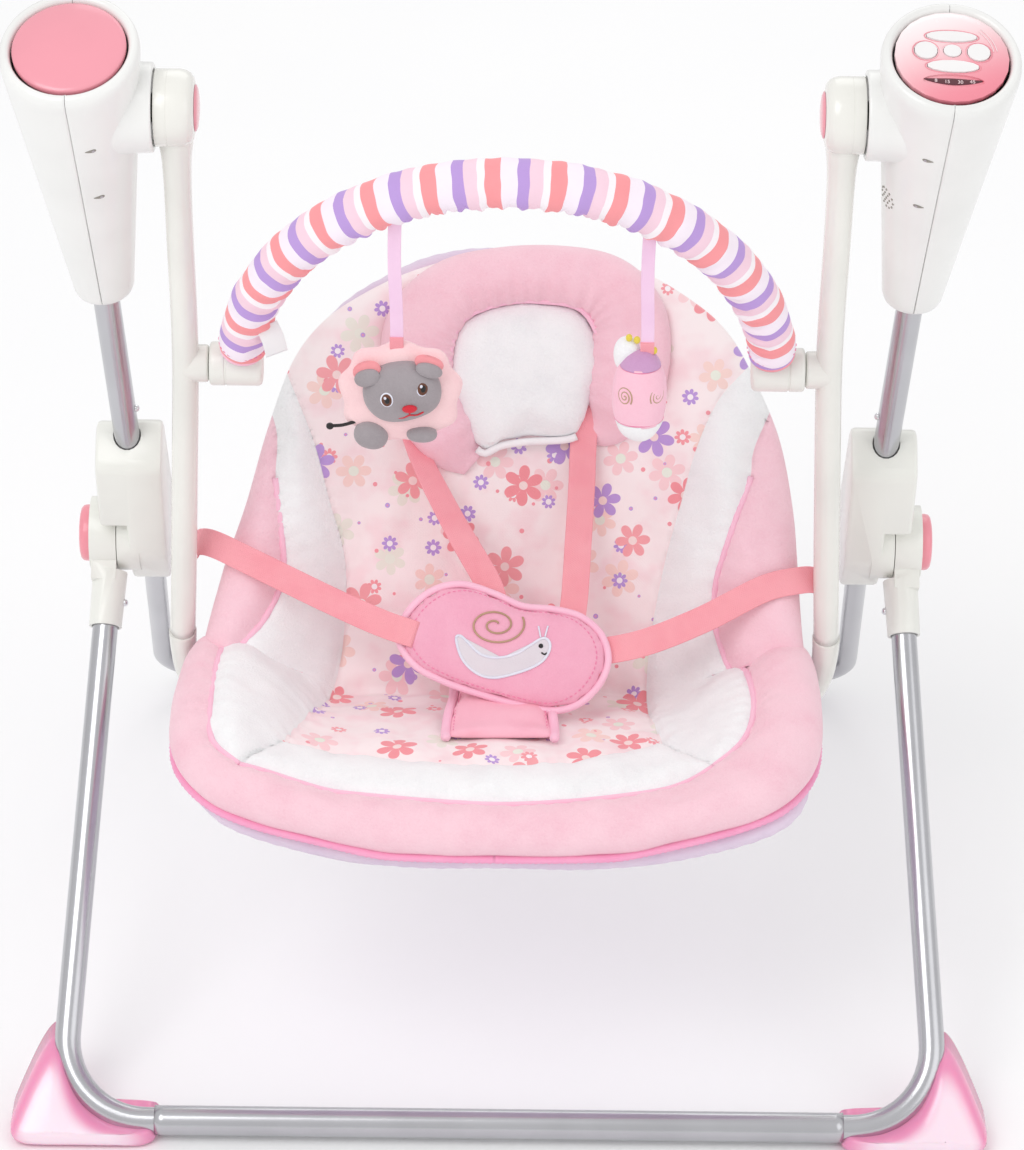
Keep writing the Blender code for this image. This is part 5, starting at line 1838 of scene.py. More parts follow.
    def lid(self) -> None:
        """The pink disc on the left housing."""
        profile = (
            (0.0, 0.003), (0.010, 0.0027), (0.020, 0.0018), (0.028, 0.0006), (0.0335, -0.0006),
            (0.0352, -0.0012), (0.0358, -0.0020)
        )
        profile += ((0.0358, -0.005), (0.0, -0.005))
        piece = self.skin.lathe(
            "disc_lid", profile, mirrored(Side.LEFT) @ panel_frame(), Finish.PINK_CAP, 96, sharp=60
        )
        settle(piece, Body.STAND, ["disc_cap"])

    def outline(
        self, name: str, flat: np.ndarray, radius: float, finish: Finish, height: float = 0.0009
    ) -> None:
        """A fine printed line on the panel."""
        path = moved(np.concatenate([flat, np.full((len(flat), 1), height)], 1), panel_frame())
        up = np.array(panel_frame().to_3x3() @ Vector((0, 0, 1)))
        settle(
            self.skin.sweep(name, path, oval(radius, radius * 0.3, 8), finish, up), Body.STAND,
        )

    def numeral(self, text: str, x: float, y: float, size: float) -> None:
        """A printed number on the timer window."""
        curve = bpy.data.curves.new(f"numeral_{text}", "FONT")
        curve.body, curve.size, curve.extrude = text, size, 0.00008
        curve.align_x, curve.align_y = "CENTER", "CENTER"
        curve.resolution_u = 3
        holder = linked("lettering", curve)
        mesh = bpy.data.meshes.new_from_object(evaluated(holder))
        bpy.data.objects.remove(holder, do_unlink=True)
        mesh.transform(panel_frame() @ Matrix.Translation((x, y, -0.0004)))
        mesh.materials.clear()
        settle(self.skin.finished(f"numeral_{text}", mesh, Finish.NUMERAL, 30), Body.STAND)

    def panel(self) -> None:
        """The control panel's prints: outlines round the keys, the timer window and its numbers."""
        for index, (x, y, wide, high) in enumerate(self.keys):
            ring = oval(wide + 0.0011, high + 0.0010, 60) + np.array([x, y])
            self.outline(
                f"key_line_{index + 1}", np.concatenate([ring, ring[:1]]), 0.00035, Finish.BUTTON, 0.0006
            )
        window = smooth_line(
            (
                (-0.0186, -0.0190), (-0.0120, -0.0216), (0.0, -0.0232), (0.0120, -0.0216), (0.0186, -0.0190),
                (0.0100, -0.0184), (0.0, -0.0180), (-0.0100, -0.0184)
            ),
            90, closed=True
        )
        rows = []
        for share, height in (
            (1.0, -0.0012), (1.0, -0.0006), (0.96, -0.0005), (0.5, -0.0005), (0.02, -0.0005)
        ):
            flat = window.mean(0) + (window - window.mean(0)) * share
            rows.append(np.concatenate([flat, np.full((len(flat), 1), height)], 1))
        piece = self.skin.grid(
            "timer_window", moved(np.array(rows), panel_frame()), Finish.WINDOW, (False, True), caps=True
        )
        settle(piece, Body.STAND)
        for text, x, y in (
            ("8", -0.0110, -0.0203), ("15", -0.0040, -0.0209), ("30", 0.0042, -0.0209),
            ("45", 0.0118, -0.0203)
        ):
            self.numeral(text, x, y, 0.0036)
        for index, spread in enumerate((0.0262, 0.0284)):
            angle = np.linspace(0.15, 0.85, 24)
            self.outline(
                f"panel_mark_{index + 1}", np.stack([spread * np.cos(angle), spread * np.sin(angle)], 1),
                0.0003, Finish.NUMERAL, 0.0006
            )

    def build(self) -> None:
        """Makes both housings and dresses what is in them."""
        for side in Side:
            self.shell(side, True)
            self.shell(side, False)
            self.collar(side)
            self.recess(side, 1, 0.1555, -math.pi / 2 - 0.30)
            self.recess(side, 2, 0.1080, -math.pi / 2 - 0.36)
        self.lid()
        self.panel()
        soften(0.0004, "control_panel", "key_top", "key_left", "key_centre", "key_right", "key_bottom")
        self.dress(Finish.PANEL, "control_panel")
        self.dress(Finish.KEY, "key_top", "key_left", "key_centre", "key_right", "key_bottom")
        self.dress(Finish.STEEL, "motor", "pivot_axle_left", "pivot_axle_right")
        self.dress(Finish.BLACK, "gearbox", "battery_pack", "speaker", "pivot_bush_left", "pivot_bush_right")
        self.dress(Finish.BOARD, "circuit_board")


# ---------------------------------------------------------------- swing arms


@dataclass
class SwingArms(Assembly):
    """The two arms that carry the seat: round heads, pink caps and flattened bars."""

    line: Rows3 = (
        (0.2112, -0.064, 0.668), (0.2113, -0.0625, 0.640), (0.2115, -0.059, 0.58), (0.2115, -0.0535, 0.49),
        (0.215, -0.050, 0.40), (0.219, -0.047, 0.31), (0.2215, -0.045, 0.262)
    )
    foot: Rows3 = (
        (0.2216, -0.045, 0.2612), (0.2214, -0.0450, 0.248), (0.2200, -0.0455, 0.2335),
        (0.2160, -0.0467, 0.2215), (0.2115, -0.048, 0.2160)
    )

    def build(self) -> None:
        """Makes both arms."""
        for side in Side:
            flip = mirrored(side)
            bar = moved(smooth_line(self.line, 70), flip)
            flare = 1 + 0.28 * np.exp(-(run_of(bar) - 0.022) / 0.012).clip(0, 1)
            arm = self.skin.sweep(
                f"arm_bar_{side.word}", bar, oval(0.0088, 0.0118, 40), Finish.PEARL, (0, -1, 0), scale=flare
            )
            settle(arm, Body.SWING, [f"swing_arm_{side.word}"])
            head = (
                (0.0, 0.1982), (0.0160, 0.1982), (0.0196, 0.1990), (0.0222, 0.2010), (0.0239, 0.2040),
                (0.0246, 0.2078), (0.0246, 0.2150)
            )
            head += (
                (0.02445, 0.2151), (0.02445, 0.2154), (0.0246, 0.2155), (0.0246, 0.2226), (0.0242, 0.2232),
                (0.0, 0.2232)
            )
            disc = self.skin.lathe(
                f"arm_head_{side.word}", head, flip @ across_x(PIVOT), Finish.PEARL, 96, sharp=50
            )
            settle(disc, Body.SWING)
            cap = (
                (0.0, 0.1956), (0.0080, 0.1958), (0.0125, 0.1964), (0.0146, 0.1973), (0.0150, 0.1980),
                (0.0, 0.1980)
            )
            settle(
                self.skin.lathe(
                    f"head_cap_{side.word}", cap, flip @ across_x(PIVOT), Finish.PINK_CAP, 72, sharp=60
                ),
                Body.SWING, [f"pivot_cap_{side.word}"]
            )
            boss = (
                (0.0, 0.1962), (0.0110, 0.1962), (0.0122, 0.1970), (0.0125, 0.1985), (0.0125, 0.2120),
                (0.0, 0.2120)
            )
            ring = self.skin.lathe(
                f"toy_bar_boss_{side.word}", boss, flip @ across_x(TOY_AXIS), Finish.PEARL, 48, sharp=50
            )
            settle(ring, Body.SWING)
            sleeve = moved(smooth_line(self.foot, 30), flip)
            taper = np.linspace(1.22, 1.0, 30)
            end = self.skin.sweep(
                f"arm_foot_{side.word}", sleeve, oval(0.0078, 0.0098, 36), Finish.PEARL, (0, -1, 0),
                scale=taper
            )
            settle(end, Body.SWING, [f"arm_end_{side.word}"])
            barrel = (
                (0.0, 0.1946), (0.0135, 0.1946), (0.0154, 0.1956), (0.0160, 0.1974), (0.0160, 0.2110),
                (0.0152, 0.2132), (0.0130, 0.2144), (0.0, 0.2144)
            )
            joint = self.skin.lathe(
                f"hoop_joint_{side.word}", barrel, flip @ across_x(Vector((0, -0.048, 0.2145))),
                Finish.JOINT, 64, sharp=50
            )
            settle(joint, Body.SWING)


# ---------------------------------------------------------------- toy bar


@dataclass
class ToyBar(Assembly):
    """The arch over the seat: a gathered striped sleeve between two hubs."""

    half: float = 0.174
    tall: float = 0.197
    lean: float = math.radians(25)
    radius: float = 0.0158
    first: float = 0.088

    def middle(self, angle: np.ndarray) -> np.ndarray:
        """Points of the arch's middle line, from 0 at the right hub to pi at the left one."""
        rise = self.tall * np.sin(angle)
        along = [
            self.half * np.cos(angle), TOY_AXIS.y - rise * math.sin(self.lean),
            TOY_AXIS.z + rise * math.cos(self.lean)
        ]
        return np.stack(along, -1)

    def around(self, angle: np.ndarray, turn: np.ndarray, reach: np.ndarray) -> np.ndarray:
        """Points round the arch: turn 0 is outwards, pi inwards and a quarter to the front."""
        ahead = unit(np.gradient(self.middle(angle), axis=0))
        flat = np.array([0, -math.cos(self.lean), -math.sin(self.lean)])
        out = unit(np.cross(ahead, np.broadcast_to(flat, ahead.shape)))
        out *= np.sign((out * (self.middle(angle) - np.array(TOY_AXIS))).sum(1, keepdims=True))
        spread = np.cos(turn)[..., None] * out[:, None] + np.sin(turn)[..., None] * flat
        return self.middle(angle)[:, None] + reach[..., None] * spread

    def sleeve(self) -> None:
        """The striped sleeve, with its folds crowded on the inner side of the curve."""
        angle = np.linspace(self.first, math.pi - self.first, 520)
        turn = np.linspace(0, TAU, 56, endpoint=False)
        run = run_of(self.middle(angle) * (1 + self.radius / self.half * 0.6))
        wide_run, wide_turn = np.meshgrid(run, turn, indexing="ij")
        inner = np.clip(-np.cos(wide_turn), 0, 1)
        side = np.abs(np.sin(wide_turn))
        where = np.stack([wide_run, wide_turn * 0.016], -1)
        wander = 2.4 * ripple(where, 0.07, 61)
        fold = np.sin(wide_run * TAU / 0.0152 + wander)
        fine = np.sin(wide_run * TAU / 0.0071 + 1.7 * wander + 0.5 * np.sin(wide_turn))
        reach = self.radius + 0.0004 * ripple(where, 0.03, 62)
        reach = reach - 0.0026 * inner**1.5 * (0.5 - 0.5 * fold) ** 1.5 + 0.0009 * inner * fine
        reach = reach + 0.00035 * side * fold + 0.0002 * np.sin(wide_run * TAU / 0.0395) * (1 - inner)
        end = np.minimum(wide_run, run[-1] - wide_run)
        reach = reach * (0.80 + 0.20 * swell(end / 0.010))
        skew = 0.0055 * ripple(np.stack([wide_run, wide_turn * 0.012], -1), 0.075, 63) * inner
        columns = np.concatenate([wide_run + skew, (wide_run + skew)[:, :1]], 1)
        rows = np.concatenate([wide_turn, np.full((len(run), 1), TAU)], 1) * self.radius
        plan = np.stack([columns, rows], -1)
        points = self.around(angle, wide_turn, reach)
        piece = self.skin.grid("striped_sleeve", points, Finish.STRIPES, (False, True), plan, caps=True)
        settle(piece, Body.TOY_BAR, ["toy_bar_sleeve"])

    def ring(self, name: str, first: float, last: float, reach: float, finish: Finish) -> None:
        """A band of cloth round the sleeve."""
        angle = np.linspace(first, last, 10)
        turn = np.linspace(0, TAU, 56, endpoint=False)
        wide = np.broadcast_to(turn, (10, 56))
        tube = reach - 0.0012 * np.abs(np.linspace(-1, 1, 10))[:, None] ** 3 + np.zeros((10, 56))
        outer, inner = self.around(angle, wide, tube), self.around(angle, wide, tube - 0.002)
        points = np.concatenate([outer, inner[::-1]])
        settle(self.skin.grid(name, points, finish, (True, True)), Body.TOY_BAR)

    def label(self) -> None:
        """A plain white care label sewn in near the left end."""
        angle = np.array([math.pi - 0.30, math.pi - 0.299])
        base = self.around(angle, np.array([[2.5], [2.5]]), np.full((2, 1), self.radius - 0.002))[0, 0]
        line = smooth_line(
            [base, base + np.array([0.004, -0.003, -0.008]), base + np.array([0.0065, -0.0035, -0.019])], 20
        )
        piece = self.skin.sweep(
            "care_label", line, oval(0.0075, 0.00035, 20, 6), Finish.LABEL, (0.3, -0.9, 0.3)
        )
        settle(piece, Body.TOY_BAR)

    def hub(self, side: Side) -> None:
        """The round hub with its groove and its keyed slot, the slot a dark piece of painted shade."""
        profile = (
            (0.0, 0.1607), (0.0110, 0.1607), (0.0132, 0.1613), (0.0143, 0.1628), (0.0145, 0.1650),
            (0.0145, 0.1842)
        )
        profile += (
            (0.0139, 0.1846), (0.0139, 0.1856), (0.0145, 0.1860), (0.0145, 0.1935), (0.0141, 0.1949),
            (0.0130, 0.1955), (0.0, 0.1955)
        )
        piece = self.skin.lathe(
            f"bar_hub_{side.word}", profile, mirrored(side) @ across_x(TOY_AXIS), Finish.JOINT, 64, sharp=50
        )
        settle(piece, Body.TOY_BAR, [f"toy_bar_hub_{side.word}"])
        # The slot is a dark piece of painted shade laid on the hub.
        line = np.array([(0.0, 0.0, 0.1878), (0.0, 0.0, 0.1925)]) + np.array([0.0, 0.0142, 0.0])
        slot = moved(
            evenly(line, 6), mirrored(side) @ across_x(TOY_AXIS) @ Matrix.Rotation(math.radians(-52), 4, "Z")
        )
        out = slot[0] - np.array([slot[0][0], TOY_AXIS.y, TOY_AXIS.z])
        settle(
            self.skin.sweep(
                f"bar_hub_slot_{side.word}", slot, oval(0.0011, 0.0005, 12, 5), Finish.SHADOW, out
            ),
            Body.TOY_BAR
        )

    def build(self) -> None:
        """Makes the toy bar."""
        self.sleeve()
        self.ring("sleeve_band_right", 0.088, 0.115, 0.0152, Finish.WEBBING)
        self.ring("sleeve_band_left", math.pi - 0.112, math.pi - 0.088, 0.0150, Finish.PIPING)
        self.label()
        for side in Side:
            self.hub(side)
        self.dress(Finish.STEEL, "toy_bar_tube")


@dataclass
class Toy(Assembly):
    """A hanging toy, sewn from stuffed pieces in its own upright plane."""

    body: Body
    slot: str
    centre: tuple[float, float, float]
    hook: float
    # The stuffed piece that the face or the embroidery lies on: centre aside and up, depth, and radii.
    front: tuple[float, float, float, float, float, float]

    def ball(
        self, name: str, spot: tuple[float, float, float], radii: tuple[float, float, float], finish: Finish,
        waves: float = 0.03, replaced: Sequence[str] = (), lean: float = 0.0,
        share: tuple[float, float] = (-1.0, 1.0)
    ) -> bpy.types.Object:
        """One stuffed piece, or a slice of one between two shares of its height."""
        low, high = math.asin(share[0]), math.asin(share[1])
        rise = np.linspace(low, high, 30)[:, None]
        turn = np.linspace(0, TAU, 44, endpoint=False)[None]
        shape = np.stack(
            np.broadcast_arrays(np.cos(rise) * np.cos(turn), np.cos(rise) * np.sin(turn), np.sin(rise)), -1
        )
        rounded = np.sign(shape) * np.abs(shape) ** 0.92
        local = rounded * np.array(radii)
        local = local * (1 + waves * ripple(local, 0.022, sum(map(ord, name)) % 97))[..., None]
        if lean:
            local = moved(local, Matrix.Rotation(lean, 4, "Y"))
        local = local + np.array([spot[0], spot[2], spot[1]]) + np.array(self.centre)
        piece = self.skin.grid(name, local, finish, (False, True), caps=True)
        return settle(piece, self.body, replaced)

    def on_front(self, flat: np.ndarray, lift: float) -> np.ndarray:
        """Points over the front piece's surface."""
        x, z, depth, wide, deep, tall = self.front
        share = 1 - ((flat[:, 0] - x) / wide) ** 2 - ((flat[:, 1] - z) / tall) ** 2
        ahead = depth - deep * np.sqrt(np.clip(share, 0.02, 1)) - lift
        return np.stack([flat[:, 0], ahead, flat[:, 1]], 1) + np.array(self.centre)

    def disc(
        self, name: str, spot: tuple[float, float], radii: tuple[float, float], thick: float, finish: Finish,
        lift: float = 0.0
    ) -> None:
        """A small stitched disc on the front."""
        ring = oval(radii[0], radii[1], 36)
        rows = []
        for share, height in (
            (0.02, -0.001), (1.0, -0.001), (1.0, 0.35), (0.93, 0.75), (0.75, 0.95), (0.4, 1.0), (0.02, 1.0)
        ):
            flat = np.array(spot) + ring * share
            rows.append(self.on_front(flat, lift + thick * height))
        settle(self.skin.grid(name, np.stack(rows), finish, (False, True), caps=True), self.body)

    def thread(
        self, name: str, flat: Sequence[Sequence[float]], radius: float, finish: Finish, smooth: bool = True
    ) -> None:
        """A line of embroidery on the front."""
        line = smooth_line(flat, 48) if smooth else np.array(flat)
        path = self.on_front(line, 0.0003)
        settle(
            self.skin.sweep(name, path, oval(radius, radius * 0.7, 8), finish, (0, -1, 0)), self.body,
        )

    def ribbon(self, x: float, low: float) -> None:
        """The ribbon the toy hangs on, with a darker loop sewn at its foot."""
        word = self.body.value
        spot = np.array(self.centre) + np.array([x, 0.0, 0.0])
        drop = np.linspace(self.hook, spot[2] + low, 30)
        wave = 0.0006 * np.sin((drop - drop[0]) * 60)
        line = np.stack([np.full(30, spot[0]) + wave, np.full(30, spot[1]) + 0.4 * wave, drop], 1)
        section = oval(0.0042, 0.0005, 20, 5)
        settle(
            self.skin.sweep(f"{word}_ribbon", line, section, Finish.RIBBON, (0, -1, 0)), self.body
        )
        foot = line[-1] + np.array(
            [0.0, -0.0006, 0.0]
        ) + np.linspace(0.0045, -0.004, 8)[:, None] * np.array([0, 0, 1.0])
        settle(
            self.skin.sweep(
                f"{word}_ribbon_foot", foot, oval(0.0044, 0.0009, 20, 5), Finish.WEBBING, (0, -1, 0)
            ),
            self.body
        )


class Bear(Toy):
    """The grey bear with a pale mane."""

    def build(self) -> None:
        """Makes the bear."""
        mane = oval(0.0385, 0.0360, 96, 2.3) * (1 + 0.045 * np.sin(np.arange(96) * TAU / 96 * 9))[:, None]
        rows = []
        for share, deep in (
            (0.02, 0.008), (0.55, 0.0078), (0.85, 0.006), (0.97, 0.003), (1.0, 0.0), (0.97, -0.003),
            (0.85, -0.006), (0.55, -0.0078), (0.02, -0.008)
        ):
            flat = mane * share
            rows.append(
                np.stack(
                    [flat[:, 0], np.full(96, deep + 0.003), flat[:, 1] + 0.001], 1
                ) + np.array(self.centre)
            )
        settle(
            self.skin.grid("bear_mane", np.stack(rows), Finish.MANE, (False, True), caps=True), self.body,
            ["bear_toy"]
        )
        x, z, depth, wide, deep, tall = self.front
        self.ball(
            "bear_face", (x, z, depth), (wide, deep, tall), Finish.GREY_FUR, 0.02, lean=math.radians(-10)
        )
        for word, spot, radii, lean in (
            ("left", (-0.0208, 0.0195), (0.0085, 0.0030, 0.0062), -0.35),
            ("right", (0.0186, 0.0255), (0.0088, 0.0030, 0.0050), 0.30),
        ):
            self.ball(
                f"bear_ear_lining_{word}", (spot[0], spot[1] + 0.0035, -0.0085),
                (radii[0] * 1.08, 0.0028, radii[2] * 1.1), Finish.BLUSH, 0.03, lean=lean
            )
            self.ball(
                f"bear_ear_{word}", (spot[0], spot[1], -0.0115), radii, Finish.GREY_FUR, 0.04, lean=lean
            )
        for word, spot in (("left", (-0.0082, 0.0059)), ("right", (0.0148, 0.0138))):
            self.disc(f"bear_eye_rim_{word}", spot, (0.0042, 0.0054), 0.0006, Finish.WHITE_THREAD)
            self.disc(f"bear_eye_{word}", spot, (0.0033, 0.0045), 0.0007, Finish.BROWN_THREAD, 0.0004)
            self.disc(
                f"bear_pupil_{word}", (spot[0] + 0.0003, spot[1]), (0.0016, 0.0023), 0.0004,
                Finish.DARK_THREAD, 0.001
            )
            self.disc(
                f"bear_glint_{word}", (spot[0] - 0.0010, spot[1] + 0.0019), (0.0009, 0.0010), 0.0004,
                Finish.WHITE_THREAD, 0.0012
            )
        self.disc("bear_nose", (0.0064, -0.0004), (0.0048, 0.0031), 0.0018, Finish.RED_THREAD)
        self.thread("bear_lip", ((0.0064, -0.003), (0.0064, -0.0062)), 0.0006, Finish.RED_THREAD)
        self.thread(
            "bear_smile",
            ((-0.0007, -0.0085), (0.0022, -0.0082), (0.0064, -0.0060), (0.0110, -0.0062), (0.0152, -0.0042)),
            0.0006, Finish.RED_THREAD
        )
        self.ball(
            "bear_paw_left", (-0.0189, -0.0275, -0.003), (0.0112, 0.0075, 0.0095), Finish.GREY_FUR, 0.05,
            lean=0.3
        )
        self.ball(
            "bear_paw_right", (0.0135, -0.0262, -0.003), (0.0100, 0.0070, 0.0055), Finish.GREY_FUR, 0.05
        )
        tail = smooth_line(
            ((-0.0290, -0.002, -0.0185), (-0.0370, -0.003, -0.0205), (-0.0440, -0.003, -0.0212)), 20
        ) + np.array(self.centre)
        settle(
            self.skin.sweep("bear_tail", tail, oval(0.0011, 0.0011, 12), Finish.DARK_THREAD), self.body,
        )
        self.ball(
            "bear_tail_knob", (-0.0452, -0.0214, -0.003), (0.0024, 0.0022, 0.0022), Finish.DARK_THREAD, 0.02
        )
        self.ribbon(-0.0026, 0.0385)


class Egg(Toy):
    """The pink egg with a chick's head behind it and a spiral on each cheek."""

    def build(self) -> None:
        """Makes the egg."""
        radii = self.front[3:]
        self.ball("egg_middle", (0, 0, 0), radii, Finish.EGG_PINK, 0.015, ["egg_toy"], share=(-0.50, 0.72))
        wider = tuple(value * 1.012 for value in radii)
        self.ball("egg_bottom", (0, 0, 0), wider, Finish.VELOUR, 0.02, share=(-1.0, -0.46))
        self.ball("egg_top", (0, 0, 0), wider, Finish.MAUVE, 0.02, share=(0.68, 1.0))
        self.ball("egg_head", (-0.0086, 0.0275, 0.005), (0.0085, 0.0065, 0.0125), Finish.VELOUR, 0.03)
        for index, spot in enumerate(((-0.0077, 0.0415), (-0.0026, 0.0400), (0.0085, 0.0325))):
            self.ball(
                f"egg_tuft_{index + 1}", (spot[0], spot[1], 0.001), (0.0021, 0.0018, 0.0026),
                Finish.YELLOW_THREAD, 0.05
            )
        turn = np.linspace(0.4, 2.6 * TAU, 130)
        for side, spot in ((Side.LEFT, (-0.0098, 0.0060)), (Side.RIGHT, (0.0110, 0.0064))):
            wide = 0.00034 * turn
            flat = np.stack(
                [spot[0] + 0.85 * wide * np.cos(turn) * side.value, spot[1] + wide * 1.25 * np.sin(turn)], 1
            )
            self.thread(f"egg_spiral_{side.word}", flat, 0.0005, Finish.TAN_THREAD, smooth=False)
        for word, share in (("low", -0.47), ("high", 0.69)):
            turn = np.linspace(0, TAU, 80, endpoint=False)
            reach = math.sqrt(1 - share**2) * 1.01
            line = np.stack(
                [
                    radii[0] * reach * np.cos(turn), radii[1] * reach * np.sin(turn),
                    np.full(80, radii[2] * share)
                ],
                1
            )
            seam = self.skin.sweep(
                f"egg_seam_{word}", line + np.array(self.centre), oval(0.0006, 0.0006, 8),
                Finish.PINK_THREAD, closed=True
            )
            settle(seam, self.body)
        self.ribbon(0.0035, 0.0345)


# ---------------------------------------------------------------- stuffing and repeated details


@dataclass(frozen=True)
class Stuffing:
    """Fills a sewn piece by a short cloth simulation, so that its skin swells and puckers."""

    voxel: float = 0.0045
    pressure: float = 4.0
    frames: int = 20
    reach: float = 0.0035

    def coordinates(self, piece: bpy.types.Object) -> np.ndarray:
        """The points of the piece as its modifiers leave it."""
        mesh = evaluated(piece).data
        flat = np.zeros(len(mesh.vertices) * 3, np.float32)
        mesh.vertices.foreach_get("co", flat)
        return flat.reshape(-1, 3).astype(float)

    def bake(self, piece: bpy.types.Object) -> None:
        """Make the piece's modifiers part of its mesh."""
        mesh = bpy.data.meshes.new_from_object(evaluated(piece))
        piece.modifiers.clear()
        piece.data = mesh
        mesh.shade_smooth()

    def fill(self, piece: bpy.types.Object) -> bpy.types.Object:
        """Swell the piece."""
        remesh = piece.modifiers.new("even mesh", "REMESH")
        remesh.mode = "VOXEL"
        remesh.voxel_size = self.voxel
        self.bake(piece)
        start = self.coordinates(piece)
        cloth = piece.modifiers.new("filling", "CLOTH")
        cloth.settings.quality = 6
        cloth.settings.use_pressure = True
        cloth.settings.uniform_pressure_force = self.pressure
        cloth.settings.effector_weights.gravity = 0.0
        cloth.point_cache.frame_start, cloth.point_cache.frame_end = 1, self.frames
        for frame in range(1, self.frames + 1):
            bpy.context.scene.frame_set(frame)
        move = self.coordinates(piece) - start
        piece.modifiers.clear()
        bpy.context.scene.frame_set(1)
        length = np.maximum(np.linalg.norm(move, axis=1, keepdims=True), 1e-9)
        move *= self.reach * np.tanh(length / self.reach) / length
        piece.data.vertices.foreach_set("co", (start + move).astype(np.float32).ravel())
        piece.modifiers.new("fine mesh", "SUBSURF").levels = 1
        self.bake(piece)
        LOG.info("%s filled: moved %.1f mm", piece.name, 1000 * float(np.linalg.norm(move, axis=1).max()))
        return piece


class Shape(Enum):
    """The small shapes that are repeated."""

    BEAD = "UVSphere"
    ROD = "Cylinder"


class Scatter:
    """Repeats a small shape over points with a node tree, into one plain mesh for a body."""

    def __init__(self, finishes: Wardrobe, skin: Skin) -> None:
        """Args:
        finishes: where the materials come from.
        skin: what turns the mesh into a dressed object.
        """
        self.finishes, self.skin = finishes, skin
        self.trees = {shape: self.tree(shape) for shape in Shape}

    def tree(self, shape: Shape) -> bpy.types.NodeTree:
        """The node tree for one shape, with its size, jitter, seed and material as inputs."""
        tree = bpy.data.node_groups.new(f"scatter_{shape.name.lower()}", "GeometryNodeTree")
        tree.interface.new_socket("Geometry", in_out="INPUT", socket_type="NodeSocketGeometry")
        for name, kind in (
            ("Radius", "Float"), ("Length", "Float"), ("Jitter", "Float"), ("Seed", "Int"),
            ("Material", "Material")
        ):
            tree.interface.new_socket(name, in_out="INPUT", socket_type=f"NodeSocket{kind}")
        tree.interface.new_socket("Geometry", in_out="OUTPUT", socket_type="NodeSocketGeometry")
        new, link = tree.nodes.new, tree.links.new
        given, result = new("NodeGroupInput"), new("NodeGroupOutput")
        small = new(f"GeometryNodeMesh{shape.value}")
        small.inputs["Radius"].default_value = 1.0
        if shape is Shape.ROD:
            small.inputs["Depth"].default_value = 2.0
            small.inputs["Vertices"].default_value = 20
        else:
            small.inputs["Segments"].default_value, small.inputs["Rings"].default_value = 12, 8
        size, sized = new("ShaderNodeCombineXYZ"), new("GeometryNodeTransform")
        link(given.outputs["Radius"], size.inputs[0])
        link(given.outputs["Radius"], size.inputs[1])
        link(given.outputs["Length"], size.inputs[2])
        link(small.outputs["Mesh"], sized.inputs["Geometry"])
        link(size.outputs[0], sized.inputs["Scale"])
        turn, facing = new("GeometryNodeInputNamedAttribute"), new("FunctionNodeEulerToRotation")
        turn.data_type = "FLOAT_VECTOR"
        turn.inputs["Name"].default_value = "turn"
        link(turn.outputs["Attribute"], facing.inputs[0])
        low, high, chance = new("ShaderNodeMath"), new("ShaderNodeMath"), new("FunctionNodeRandomValue")
        low.operation, high.operation = "SUBTRACT", "ADD"
        low.inputs[0].default_value = high.inputs[0].default_value = 1.0
        link(given.outputs["Jitter"], low.inputs[1])
        link(given.outputs["Jitter"], high.inputs[1])
        chance.data_type = "FLOAT"
        link(low.outputs[0], chance.inputs[2])
        link(high.outputs[0], chance.inputs[3])
        link(given.outputs["Seed"], chance.inputs["Seed"])
        copies, real, dressed = new(
            "GeometryNodeInstanceOnPoints"
        ), new("GeometryNodeRealizeInstances"), new("GeometryNodeSetMaterial")
        link(given.outputs["Geometry"], copies.inputs["Points"])
        link(sized.outputs["Geometry"], copies.inputs["Instance"])
        link(facing.outputs[0], copies.inputs["Rotation"])
        link(chance.outputs[1], copies.inputs["Scale"])
        link(copies.outputs["Instances"], real.inputs["Geometry"])
        link(real.outputs["Geometry"], dressed.inputs["Geometry"])
        link(given.outputs["Material"], dressed.inputs["Material"])
        link(dressed.outputs["Geometry"], result.inputs["Geometry"])
        return tree

    def place(
        self, name: str, points: np.ndarray, ways: np.ndarray, shape: Shape, size: tuple[float, float],
        finish: Finish, body: Body, slot: str, jitter: float = 0.05
    ) -> None:
        """Repeat the shape.

        Args:
            name: the piece's name.
            points: where each copy goes, as rows.
            ways: the way each copy's length points, as rows.
            shape: which small shape.
            size: its radius and half its length.
            finish: its material.
            body: the body it rides on.
            slot: not used.
            jitter: how much the copies differ in size.
        """
        mesh = bpy.data.meshes.new(name)
        mesh.from_pydata(points.tolist(), [], [])
        turns = np.array([Vector(way).to_track_quat("Z", "Y").to_euler() for way in ways], np.float32)
        mesh.attributes.new("turn", "FLOAT_VECTOR", "POINT").data.foreach_set("vector", turns.ravel())
        holder = linked("holder", mesh)
        nodes = holder.modifiers.new("scatter", "NODES")
        nodes.node_group = self.trees[shape]
        values = {
            "Radius": size[0], "Length": size[1], "Jitter": jitter, "Seed": 7,
            "Material": self.finishes[finish]
        }
        for item in nodes.node_group.interface.items_tree:
            if item.in_out == "INPUT" and item.name in values:
                nodes[item.identifier] = values[item.name]
        made = bpy.data.meshes.new_from_object(evaluated(holder))
        bpy.data.objects.remove(holder, do_unlink=True)
        made.materials.clear()
        settle(self.skin.finished(name, made, finish, 40, closed=False), body)


